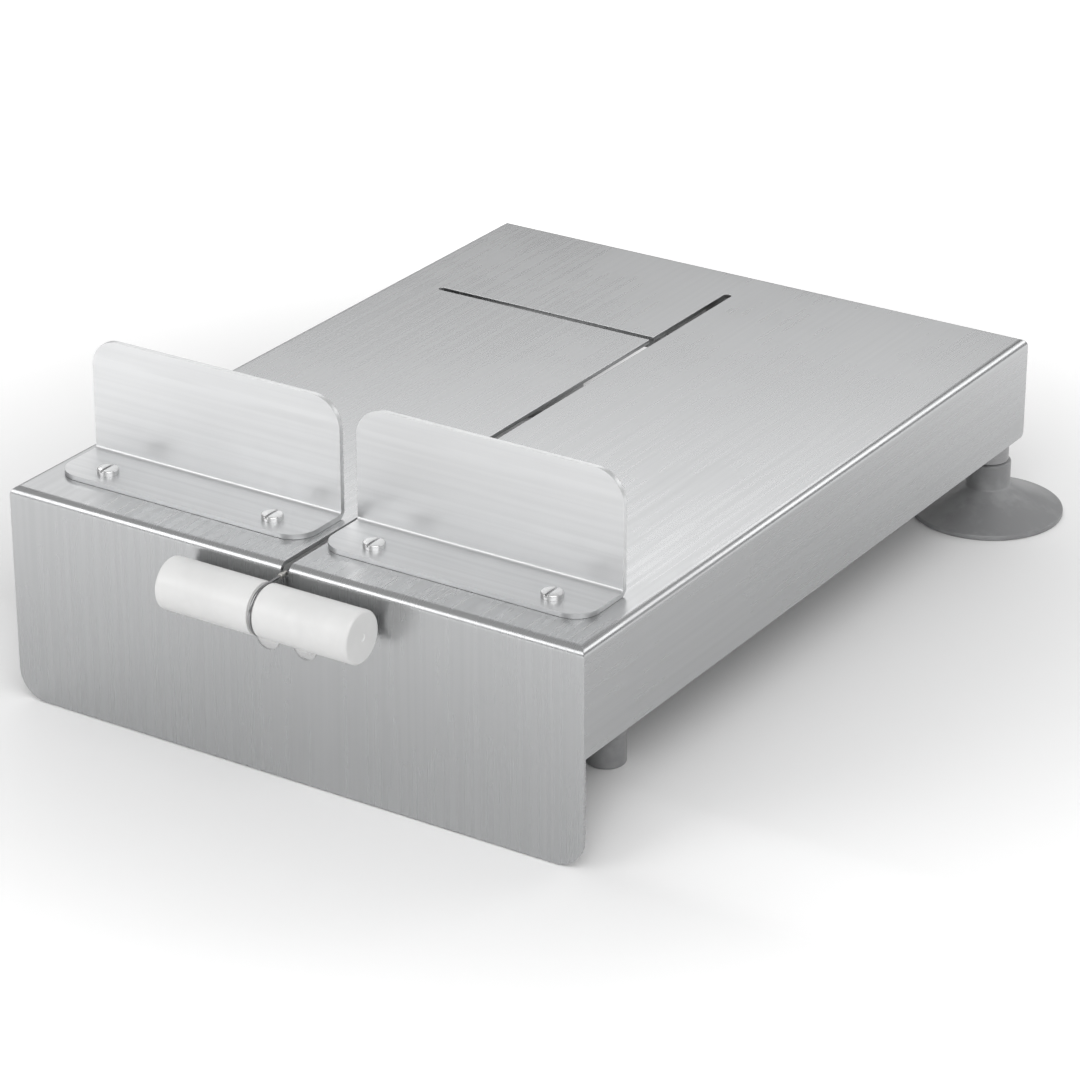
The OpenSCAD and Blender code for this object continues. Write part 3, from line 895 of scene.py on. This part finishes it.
def dress_copy(name: str, node: str, finish: Finish, body: Body, width: float) -> None:
    """Puts a copy of a CAD node, with its edges bevelled to a width, in the node's place."""
    dress(name, Bench.soften(Bench.copy_of(node), width), finish, body, node)


@dataclass(frozen=True)
class Sheet:
    """The folded base's outside and the thickness of its sheet."""

    outer: Solid
    thickness: float = 2.0 * MM
    flange_height: float = 51.0 * MM
    fold: float = 4.0 * MM

    @classmethod
    def of(cls, node: str) -> Sheet:
        """Reads the outside from a CAD node."""
        return cls(Solid(*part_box(node)))

    @property
    def inner(self) -> Vector:
        """Inner face of the apron, and underside of the plate at its right side."""
        corner = Vector((self.outer.high.x, self.outer.low.y, self.outer.high.z))
        return corner + Vector((-1, 1, -1)) * self.thickness


@dataclass
class Sheetwork:
    """Folded and cut sheet pieces, whose sharp edges are broken."""

    edge_break: float = 0.3 * MM
    washer_break: float = 0.15 * MM

    def build(self) -> None:
        """Makes the base, the fences and the flat washers."""
        for name, node, finish, width in (
            ("folded_base", "base_plate", PLATE_FINISH, self.edge_break),
            ("left_fence_sheet", "left_fence", FENCE_FINISH, self.edge_break),
            ("right_fence_sheet", "right_fence", FENCE_FINISH, self.edge_break),
            ("flat_washers", "fence_washers", BRIGHT_FINISH, self.washer_break),
            ("stud_flat_washers", "apron_stud_washers", BRIGHT_FINISH, self.washer_break),
        ):
            dress_copy(name, node, finish, Body.BASE, width)


@dataclass
class Welds:
    """Beads that close the base's front corners and hold the anchor's bracket."""

    radius: float = 1.3 * MM
    pitch: float = 1.1 * MM
    drop_sides: int = 16
    drop_rings: int = 10
    ripple: float = 0.12
    ripple_turn: float = 2.4
    ripple_drift: float = 0.7
    voxel: float = 0.22 * MM
    smoothing: float = 0.5
    smoothing_steps: int = 2
    end_gap: float = 2.0 * MM

    def build(self) -> None:
        """Makes the corner beads and the bracket beads."""
        sheet = Sheet.of("base_plate")
        inner = sheet.inner
        foot = sheet.outer.high.z - sheet.flange_height + self.end_gap
        top = inner.z - sheet.fold
        for name, side in (("left_corner_weld", -1), ("right_corner_weld", 1)):
            start = Vector((side * inner.x, inner.y, foot))
            self.bead(name, start, Vector((0, 0, top - foot)))
        bracket = Solid(*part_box("anchor_bracket"))
        run = Vector((0, bracket.size.y - 2 * self.end_gap, 0))
        for name, side in (
            ("left_bracket_weld", bracket.low.x), ("right_bracket_weld", bracket.high.x),
        ):
            self.bead(name, Vector((side, bracket.low.y + self.end_gap, bracket.high.z)), run)

    def bead(self, name: str, start: Vector, run: Vector) -> None:
        """Lays a rippled bead along a line.

        Args:
            name: Name of the bead.
            start: Where it starts.
            run: From its start to its end.
        """
        count = round(run.length / self.pitch)
        drops = []
        for index in range(count + 1):
            wave = math.sin(self.ripple_turn * index) * math.cos(self.ripple_drift * index)
            drops.append(Bench.start(
                bpy.ops.mesh.primitive_uv_sphere_add, segments=self.drop_sides,
                ring_count=self.drop_rings, radius=self.radius * (1 + self.ripple * wave),
                location=start + run * index / count))
        bead = Bench.join(*drops)
        Bench.settle(bead, bead.matrix_world.copy())
        Bench.apply(bead, "REMESH", mode="VOXEL", voxel_size=self.voxel, use_smooth_shade=True)
        Bench.apply(bead, "SMOOTH", factor=self.smoothing, iterations=self.smoothing_steps)
        dress(name, bead, WELD_FINISH, Body.BASE)


@dataclass(frozen=True)
class Bolt:
    """A screw or stud about the seat of its head, with a rolled thread on its shank below.

    Head and shank are given by their radii.
    """

    axis: Axis
    head: float
    head_height: float
    shank: float
    thread_start: float
    pitch: float
    thread_depth: float = 0.3 * MM
    shading: float = 40.0
    head_sides: int = 64
    shank_sides: int = 40
    rings_per_turn: int = 5

    def threaded_shank(self, length: float) -> Piece:
        """Turns the shank, from inside the head down, and presses its thread in.

        Args:
            length: From the head's seat to the shank's end.

        Returns:
            The shank.
        """
        start, end = -self.thread_start, -length
        count = round((start - end) / self.pitch * self.rings_per_turn)
        drop = (start - end - self.thread_depth) / count
        piece = Bench.turned([
            Corner(0.0, self.head_height / 2),
            Corner(self.shank, self.head_height / 2),
            *(Corner(self.shank, start - drop * ring) for ring in range(count + 1)),
            Corner(self.shank - self.thread_depth, end),
            Corner(0.0, end),
        ], self.shank_sides)
        for vertex in piece.data.vertices:
            self.press(vertex.co)
        return Bench.shade(piece, self.shading)

    def press(self, point: Vector) -> None:
        """Moves a point of the shank in, where the thread's groove passes it.

        Args:
            point: The point, which is changed.
        """
        out = math.hypot(point.x, point.y)
        if point.z > -self.thread_start - self.pitch / 2 or out < self.shank / 2:
            return
        turn = point.z / self.pitch + math.atan2(point.y, point.x) / math.tau
        groove = 0.5 - 0.5 * math.cos(math.tau * turn)
        share = 1 - self.thread_depth * groove / self.shank
        point.x *= share
        point.y *= share


@dataclass
class Fasteners:
    """Slotted screws and domed studs, with their nuts."""

    screw: Bolt = Bolt(
        Axis.Z, head=4.9 * MM, head_height=2.8 * MM, shank=2.5 * MM, thread_start=4.0 * MM,
        pitch=0.8 * MM)
    stud: Bolt = Bolt(
        Axis.Y, head=6.3 * MM, head_height=3.0 * MM, shank=3.0 * MM, thread_start=2.4 * MM,
        pitch=1.0 * MM)
    slot_width: float = 1.2 * MM
    slot_depth: float = 1.3 * MM
    slot_reach_share: float = 1.2
    head_rounding: float = 0.6 * MM
    crown: float = 0.25 * MM
    crown_out_share: float = 0.55
    crown_up_share: float = 0.3
    dome_rim: float = 0.4 * MM
    dome_steps: int = 14
    edge_break: float = 0.1 * MM
    nut_turn: float = math.radians(30)
    nut_chamfer_share: float = 0.93
    nut_shading: float = 24.0
    thread_clearance: float = 0.1 * MM

    def build(self) -> None:
        """Makes the screws, the studs and both sets of nuts."""
        for name, node, bolt, head in (
            ("slotted_screws", "fence_screws", self.screw, self.slotted_head),
            ("domed_studs", "apron_studs", self.stud, self.domed_head),
        ):
            _, total = Bench.solids(node)[0].across_and_along(bolt.axis)
            length = total - bolt.head_height
            pattern = Bench.join(head(bolt), bolt.threaded_shank(length))
            self.scatter(name, node, bolt.axis, pattern, length - total / 2)
        for name, node, bolt in (
            ("hexagon_nuts", "fence_nuts", self.screw), ("stud_nuts", "apron_stud_nuts", self.stud),
        ):
            flats, height = Bench.solids(node)[0].across_and_along(bolt.axis)
            self.scatter(name, node, bolt.axis, self.nut(flats, height, bolt.shank))

    @staticmethod
    def scatter(name: str, node: str, axis: Axis, pattern: Piece, rise: float = 0.0) -> None:
        """Puts a copy of a fastener in the place of each solid of a CAD node.

        Args:
            name: Name of the joined piece.
            node: Name of the CAD node.
            axis: Axis of the fasteners.
            pattern: The fastener.
            rise: From the middle of a solid up its axis to the fastener's own origin.
        """
        places = [Matrix.Translation(box.centre) @ axis.value @ Matrix.Translation((0, 0, rise))
                  for box in Bench.solids(node)]
        dress(name, Bench.repeat(pattern, places), BRIGHT_FINISH, Body.BASE, node)

    def slotted_head(self, bolt: Bolt) -> Piece:
        """Turns a low crowned head and cuts its slot.

        Args:
            bolt: Sizes of the screw.

        Returns:
            The head, with its seat on Z = 0.
        """
        top = bolt.head_height
        head = Bench.turned([
            Corner(0.0, top),
            Corner(bolt.head * self.crown_out_share, top - self.crown * self.crown_up_share),
            Corner(bolt.head, top - self.crown, self.head_rounding),
            Corner(bolt.head, 0.0, self.edge_break),
            Corner(0.0, 0.0),
        ], bolt.head_sides)
        rise = top + self.slot_depth
        size = (self.slot_width, 2 * bolt.head * self.slot_reach_share, rise, 1)
        tool = Bench.settle(
            Bench.start(bpy.ops.mesh.primitive_cube_add, size=1),
            Matrix.Translation((0, 0, 2 * top - rise / 2)) @ Matrix.Diagonal(size))
        return Bench.soften(Bench.cut(head, tool), self.edge_break)

    def domed_head(self, bolt: Bolt) -> Piece:
        """Turns a domed head with a thin flat rim.

        Args:
            bolt: Sizes of the stud.

        Returns:
            The head, with its seat on Z = 0.
        """
        rise = bolt.head_height - self.dome_rim
        dome = (bolt.head ** 2 + rise ** 2) / (2 * rise)
        half = math.asin(bolt.head / dome)
        turns = [half * step / self.dome_steps for step in range(self.dome_steps + 1)]
        return Bench.turned([
            *(Corner(dome * math.sin(turn), bolt.head_height - dome * (1 - math.cos(turn)))
              for turn in turns),
            Corner(bolt.head, 0.0),
            Corner(0.0, 0.0),
        ], bolt.head_sides)

    def nut(self, flats: float, height: float, bore: float) -> Piece:
        """Makes a hexagon nut with chamfered corners, about its own middle.

        Args:
            flats: Size across its flats.
            height: Its height.
            bore: Radius of its screw.

        Returns:
            The nut.
        """
        corner = flats / 2 / math.cos(self.nut_turn)
        nut = Bench.soften(Bench.bar(corner, height, sides=6), self.edge_break)
        Bench.settle(nut, Matrix.Rotation(self.nut_turn, 4, "Z"))
        face = corner * self.nut_chamfer_share
        drop = (corner - face) * math.tan(self.nut_turn) + self.edge_break
        Bench.cut(nut, Bench.turned(Bench.mirrored([
            Corner(0.0, height / 2 + self.edge_break),
            Corner(face - self.edge_break, height / 2 + self.edge_break),
            Corner(corner + self.edge_break, height / 2 - drop),
        ])), "INTERSECT")
        Bench.cut(nut, Bench.bar(bore + self.thread_clearance, height * 2, sides=48))
        return Bench.shade(nut, self.nut_shading)


@dataclass
class Anchor:
    """The bracket under the plate, with the pin, its clip and the wire's eyelet."""

    bracket_break: float = 0.4 * MM
    small_break: float = 0.12 * MM

    def build(self) -> None:
        """Makes the bracket, the pin, the clip and the eyelet."""
        for row in (
            ("anchor_saddle", "anchor_bracket", SADDLE_FINISH, Body.BASE, self.bracket_break),
            ("headed_pin", "anchor_pin", BRIGHT_FINISH, Body.BASE, self.small_break),
            ("spring_clip", "anchor_clip", BRIGHT_FINISH, Body.BASE, self.small_break),
            ("grooved_eyelet", "wire_eyelet", FERRULE_FINISH, Body.WIRE, self.small_break),
        ):
            dress_copy(*row)


@dataclass
class Wire:
    """The cutting wire, its two loops and the ferrules that close them."""

    radius: float = 0.6 * MM
    round_steps: int = 4
    shading: float = 40.0
    eye_radius: float = 3.82 * MM
    eye_reach: float = 16.0 * MM
    loop_radius: float = 11.25 * MM
    loop_reach: float = 13.0 * MM
    tail_gap: float = 0.15 * MM
    arc_step: float = math.radians(4)
    ferrule_rounding: float = 0.35 * MM
    dent_pitch: float = 2.3 * MM
    dent_depth: float = 0.3 * MM
    dent_radius: float = 0.8 * MM

    def build(self) -> None:
        """Makes the wire and both ferrules."""
        line = bpy.data.curves.new("line", "CURVE")
        line.dimensions, line.bevel_depth = "3D", self.radius
        line.bevel_resolution, line.use_fill_caps = self.round_steps, True
        route = self.route()
        spline = line.splines.new("POLY")
        spline.points.add(len(route) - 1)
        for point, place in zip(spline.points, route):
            point.co = (*place, 1.0)
        Bench.pick(Bench.new("line", line))
        bpy.ops.object.convert(target="MESH")
        strand = Bench.shade(Bench.merge(bpy.context.active_object), self.shading)
        dress("cutting_wire_strand", strand, WIRE_FINISH, Body.WIRE, "cutting_wire")
        self.ferrule("rear_crimp", "rear_ferrule")
        self.ferrule("front_crimp", "front_ferrule")

    def loop(self, radius: float, reach: float) -> list[tuple[float, float]]:
        """Works out a loop about its own centre, from the top of its circle to the end of its tail.

        Args:
            radius: Radius of the loop.
            reach: From the loop's centre to where the tail meets the straight wire.

        Returns:
            Points along the straight wire and square to it.
        """
        close = 2 * math.atan2(radius, reach)
        tail = reach - (self.radius * (1 + math.cos(close)) + self.tail_gap) / math.sin(close)
        steps = math.ceil((math.pi + close) / self.arc_step)
        turns = [math.pi / 2 + (math.pi + close) * i / steps for i in range(steps + 1)]
        end = (radius * math.sin(close) + tail * math.cos(close),
               tail * math.sin(close) - radius * math.cos(close))
        return [(radius * math.cos(turn), radius * math.sin(turn)) for turn in turns] + [end]

    def route(self) -> list[Vector]:
        """Works out the wire's centreline, from the tail of its eye to the tail of its front loop.

        Returns:
            Points of the centreline.
        """
        pin = Solid(*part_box("wire_eyelet")).centre
        grip = Solid(*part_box("handle")).centre
        span = math.hypot(pin.y - grip.y, pin.z - grip.z)
        rise = self.loop_radius - self.eye_radius
        tilt = math.asin((grip.z - pin.z) / span) + math.asin(rise / span)
        length = math.sqrt(span ** 2 - rise ** 2)
        rear = [(-y, z) for y, z in reversed(self.loop(self.eye_radius, self.eye_reach))]
        front = [(y - length, z - rise) for y, z in self.loop(self.loop_radius, self.loop_reach)]
        turn = Matrix.Rotation(-tilt, 4, "X")
        return [pin + turn @ Vector((0, y, z)) for y, z in rear + front]

    def ferrule(self, name: str, node: str) -> None:
        """Turns a ferrule, lays it along Y and presses crimping dents into its sides.

        Args:
            name: Name of the piece.
            node: Name of its CAD node.
        """
        box = Solid(*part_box(node))
        radius, half = box.size.x / 2, box.size.y / 2
        upper = [Corner(0.0, half), Corner(radius, half, self.ferrule_rounding)]
        sleeve = Bench.turned(Bench.mirrored(upper), sides=48)
        Bench.settle(sleeve, Matrix.Translation(box.centre) @ Axis.Y.value)
        count = round(box.size.y / self.dent_pitch)
        for index in range(count):
            y = box.low.y + box.size.y * (index + 0.5) / count
            for side in (-1, 1):
                tool = Bench.bar(self.dent_radius, 4 * radius, sides=24)
                x = side * (radius + self.dent_radius - self.dent_depth)
                Bench.settle(tool, Matrix.Translation((x, y, box.centre.z)))
                Bench.cut(sleeve, tool)
        dress(name, Bench.shade(sleeve), FERRULE_FINISH, Body.WIRE, node)


@dataclass
class Handle:
    """The round grip, with the wire's groove round its middle."""

    sides: int = 128
    groove_radius: float = 10.6 * MM
    groove_width: float = 3.0 * MM
    end_rounding: float = 1.2 * MM
    groove_rounding: float = 0.35 * MM
    gate_radius: float = 1.6 * MM
    gate_depth: float = 0.3 * MM

    def build(self) -> None:
        """Turns the grip and lays it along X."""
        box = Solid(*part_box("handle"))
        radius, half = box.size.z / 2, box.size.x / 2
        grip = Bench.turned(Bench.mirrored([
            Corner(0.0, half - self.gate_depth),
            Corner(self.gate_radius, half - self.gate_depth),
            Corner(self.gate_radius + self.gate_depth, half, self.gate_depth / 3),
            Corner(radius, half, self.end_rounding),
            Corner(radius, self.groove_width / 2, self.groove_rounding),
            Corner(self.groove_radius, self.groove_width / 2, self.groove_rounding),
        ]), self.sides)
        Bench.settle(grip, Matrix.Translation(box.centre) @ Axis.X.value)
        dress("round_grip", grip, HANDLE_FINISH, Body.HANDLE, "handle")


@dataclass
class Legs:
    """The four round legs and the front feet."""

    chamfer: float = 2.5 * MM
    edge_break: float = 0.4 * MM
    foot_rounding: float = 1.0 * MM
    foot_hollow: float = 5.5 * MM
    foot_hollow_depth: float = 0.8 * MM
    parting_share: float = 0.42
    parting_drop: float = 0.15 * MM

    def build(self) -> None:
        """Turns the legs and the feet."""
        for side in ("left", "right"):
            foot = Solid(*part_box(f"front_{side}_foot"))
            cup = Solid(*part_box(f"rear_{side}_cup"))
            self.leg(f"front_{side}_leg", foot.high.z)
            self.leg(f"rear_{side}_leg", cup.high.z)
            self.foot(f"rubber_{side}_foot", f"front_{side}_foot", foot)

    def leg(self, node: str, bottom: float) -> None:
        """Turns one leg.

        Args:
            node: Name of its CAD node.
            bottom: Height of its lower end.
        """
        box = Solid(*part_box(node))
        radius, height = box.size.x / 2, box.high.z - bottom
        leg = Bench.turned([
            Corner(0.0, height),
            Corner(radius - self.chamfer, height),
            Corner(radius, height - self.chamfer, self.edge_break),
            Corner(radius, 0.0, self.edge_break),
            Corner(0.0, 0.0),
        ])
        Bench.settle(leg, Matrix.Translation((box.centre.x, box.centre.y, bottom)))
        dress(f"turned_{node}", leg, LEG_FINISH, Body.BASE, node)

    def foot(self, name: str, node: str, box: Solid) -> None:
        """Turns one rubber foot, hollow underneath and with a parting line.

        Args:
            name: Name of the piece.
            node: Name of its CAD node.
            box: Box of that node.
        """
        radius, height = box.size.x / 2, box.size.z
        middle, line = height * self.parting_share, self.parting_drop
        foot = Bench.turned([
            Corner(0.0, self.foot_hollow_depth),
            Corner(self.foot_hollow, self.foot_hollow_depth, self.edge_break),
            Corner(self.foot_hollow + self.foot_hollow_depth, 0.0, self.edge_break / 2),
            Corner(radius, 0.0, self.foot_rounding),
            Corner(radius, middle - line),
            Corner(radius - line, middle),
            Corner(radius, middle + line),
            Corner(radius, height, self.edge_break),
            Corner(0.0, height),
        ])
        Bench.settle(foot, Matrix.Translation((box.centre.x, box.centre.y, box.low.z)))
        dress(name, foot, RUBBER_FINISH, Body.BASE, node)


@dataclass
class Cups:
    """The two rear suction cups."""

    sides: int = 144
    neck: float = 10.8 * MM
    neck_rounding: float = 1.2 * MM
    flare_foot: float = 2.5 * MM
    flare_rise: float = 12.0 * MM
    flare_power: float = 1.2
    flare_steps: int = 24
    rim_rounding: float = 0.8 * MM
    hollow: float = 34.0 * MM
    hollow_top: float = 8.0 * MM
    hollow_height: float = 8.0 * MM
    grip_rings: int = 3
    ring_width: float = 1.2 * MM
    ring_depth: float = 0.4 * MM

    def build(self) -> None:
        """Turns the cups."""
        for side in ("left", "right"):
            node = f"rear_{side}_cup"
            box = Solid(*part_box(node))
            cup = Bench.turned(self.profile(box), self.sides)
            Bench.settle(cup, Matrix.Translation((box.centre.x, box.centre.y, box.low.z)))
            dress(f"rubber_{side}_cup", cup, RUBBER_FINISH, Body.BASE, node)

    def profile(self, box: Solid) -> list[Corner]:
        """Works out a cup's outline, from the top of its neck to the top of its hollow.

        Args:
            box: Box of its CAD node.

        Returns:
            Corners of the outline.
        """
        rim, height = box.size.x / 2, box.size.z
        corners = [
            Corner(0.0, height),
            Corner(self.neck, height, self.neck_rounding),
            Corner(self.neck, self.flare_foot + self.flare_rise, self.neck_rounding),
        ]
        for step in range(2, self.flare_steps):
            share = 1 - step / self.flare_steps
            rise = self.flare_rise * share ** self.flare_power
            corners.append(Corner(rim + share * (self.neck - rim), self.flare_foot + rise))
        corners.append(Corner(rim, self.flare_foot, self.rim_rounding))
        corners.append(Corner(rim, 0.0, self.rim_rounding))
        slope = self.hollow_height / (self.hollow - self.hollow_top)
        for ring in range(self.grip_rings):
            out = self.hollow - 2 * ring * self.ring_width
            up = (self.hollow - out) * slope
            rise = -self.ring_depth / 2 if ring else self.ring_depth
            corners += [Corner(out, up), Corner(out - self.ring_width, up + rise)]
        corners.append(Corner(self.hollow_top, self.hollow_height, self.neck_rounding))
        corners.append(Corner(0.0, self.hollow_height))
        return corners


@dataclass(frozen=True)
class Lamp:
    """A rectangular panel of light."""

    name: str
    place: Triple
    aim: Triple
    size: tuple[float, float]
    power: float


@dataclass
class Studio:
    """The worktop, the floor, the light and the camera."""

    azimuth: float = 32.788
    elevation: float = 24.873
    distance: float = 1.75
    lens: float = 136.06
    sensor: float = 36.0
    target: Triple = (0.077415, -0.11968, 0.103)
    # Floor glow and the distances over which it ramps in: less glow near the object paints shade
    # round it.
    glow: float = 0.5
    glow_start: float = 0.2
    glow_end: float = 0.62
    sky_start: float = 0.3
    sky_end: float = 0.6
    sky_low: float = 0.44
    sky_high: float = 0.56
    lamps: tuple[Lamp, ...] = (
        Lamp("rear_panel", (-1.0, 1.5, 1.3), (0.0, 0.0, 0.1), (1.5, 0.65), 5.4),
        Lamp("left_panel", (-0.9, -1.35, 0.75), (0.0, -0.1, 0.1), (0.9, 0.7), 5.2),
        Lamp("side_panel", (1.2, 1.9, 1.1), (0.1, 0.0, 0.1), (1.2, 0.7), 5.8),
        Lamp("key_panel", (1.1, -1.1, 1.5), (0.0, 0.0, 0.1), (2.0, 1.6), 21.0),
    )
    low: float = -0.5 * MM
    high: float = 14.45 * MM
    reach: float = 3.0
    apron_gap: float = 0.4 * MM
    foot_gap: float = 4.0 * MM
    dip_steps: int = 16

    def build(self) -> None:
        """Makes the whole studio."""
        self.floor()
        self.light()
        self.camera()

    def floor(self) -> None:
        """Makes one sweep of floor, which dips below the feet's level just in front of them."""
        start = Sheet.of("base_plate").inner.y + self.apron_gap
        end = Solid(*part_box("front_right_foot")).low.y - self.foot_gap
        floor = Bench.start(bpy.ops.mesh.primitive_plane_add, size=2 * self.reach)
        floor.name = "floor"
        Bench.settle(floor, Matrix.Translation((0, start - self.reach, self.low)))
        with Bench.editing(floor):
            bpy.ops.mesh.select_all(action="DESELECT")
        for edge in floor.data.edges:
            edge.select = all(floor.data.vertices[i].co.y > start - MM for i in edge.vertices)
        bpy.ops.object.mode_set(mode="EDIT")
        bpy.ops.mesh.select_mode(type="EDGE")
        extrude = bpy.ops.mesh.extrude_edges_move
        rise, last = self.high - self.low, 0.0
        for index in range(1, self.dip_steps + 1):
            share = index / self.dip_steps
            here = rise * share * share * (3 - 2 * share)
            step = (0, (end - start) / self.dip_steps, here - last)
            extrude(TRANSFORM_OT_translate={"value": step})
            last = here
        extrude(TRANSFORM_OT_translate={"value": (0, self.reach, 0)})
        bpy.ops.object.mode_set(mode="OBJECT")
        Bench.shade(floor)
        floor.data.materials.append(self.floor_material())

    def floor_material(self) -> bpy.types.Material:
        """Makes matt white, glowing away from the object and darker near it by painted shade.

        Returns:
            The material.
        """
        material = bpy.data.materials.new("pale_floor")
        material.use_nodes = True
        graph = Graph(material.node_tree)
        rays = graph.add("LightPath").outputs
        seen = graph.math("MAXIMUM", rays["Is Camera Ray"], rays["Is Glossy Ray"])
        seen = graph.math("MAXIMUM", seen, rays["Is Transmission Ray"])
        place = graph.add("TexCoord").outputs["Object"]
        away = graph.add("VectorMath", {0: place}, operation="LENGTH").outputs["Value"]
        # Painted shade: the glow is 0 near the object and grows with distance, so the floor round
        # the object, and its reflection in the metal, is darker than the light alone makes it.
        glow = graph.ramp(away, self.glow_start, self.glow_end, to_high=self.glow)
        matt = graph.add("BsdfDiffuse", {"Color": PALE}).outputs[0]
        light = graph.add("Emission", {"Strength": graph.math("MULTIPLY", seen, glow)}).outputs[0]
        both = graph.add("AddShader", {0: matt, 1: light}).outputs[0]
        graph.add("OutputMaterial", {0: both})
        return material

    def light(self) -> None:
        """Makes a sky that is dim at the horizon and bright above, and four soft lamps."""
        world = bpy.data.worlds.new("studio")
        bpy.context.scene.world = world
        world.use_nodes = True
        graph = Graph(world.node_tree)
        way = graph.add("TexCoord").outputs["Generated"]
        rise = graph.add("SeparateXYZ", {0: way}).outputs[2]
        sky = graph.ramp(rise, self.sky_start, self.sky_end, self.sky_low, self.sky_high)
        seen = graph.add("LightPath").outputs["Is Camera Ray"]
        strength = graph.math("MAXIMUM", seen, sky)
        white = graph.add("Background", {"Color": WHITE, "Strength": strength})
        graph.add("OutputWorld", {0: white.outputs[0]})
        for panel in self.lamps:
            lamp = bpy.data.lights.new(panel.name, "AREA")
            lamp.shape, lamp.size, lamp.size_y = "RECTANGLE", *panel.size
            lamp.energy = panel.power
            holder = Bench.new(panel.name, lamp)
            holder.location = panel.place
            back = Vector(panel.place) - Vector(panel.aim)
            holder.rotation_euler = back.to_track_quat("Z", "Y").to_euler()

    def camera(self) -> None:
        """Sets the camera at the photograph's viewing angle."""
        data = bpy.data.cameras.new("camera")
        data.lens, data.sensor_width = self.lens, self.sensor
        camera = Bench.new("camera", data)
        turn, rise = math.radians(self.azimuth), math.radians(self.elevation)
        level = math.cos(rise)
        back = Vector((math.sin(turn) * level, -math.cos(turn) * level, math.sin(rise)))
        camera.location = Vector(self.target) + back * self.distance
        camera.rotation_euler = back.to_track_quat("Z", "Y").to_euler()
        bpy.context.scene.camera = camera
        bpy.context.scene.view_settings.view_transform = "Standard"


def main() -> None:
    """Builds the cutter's pieces in order."""
    logging.basicConfig(level=logging.INFO, format="%(name)s: %(message)s")
    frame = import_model()
    Bench.nodes = frame["nodes"]
    slots = {finish.slot.value: finish for finish in (
        PLATE_FINISH, FENCE_FINISH, BRIGHT_FINISH, LEG_FINISH, WIRE_FINISH, FERRULE_FINISH,
        RUBBER_FINISH, HANDLE_FINISH)}
    for node in frame["nodes"].values():
        slot = node.data.materials[0].name if node.data.materials else ""
        LOG.info("node %s has material %s", node.name, slot)
        coat(node, slots.get(slot.split(".")[0], BRIGHT_FINISH))
    for assembly in (Sheetwork(), Welds(), Fasteners(), Anchor(), Wire(), Handle(), Legs(), Cups()):
        assembly.build()
    Studio().build()


if __name__ == "__main__":
    main()
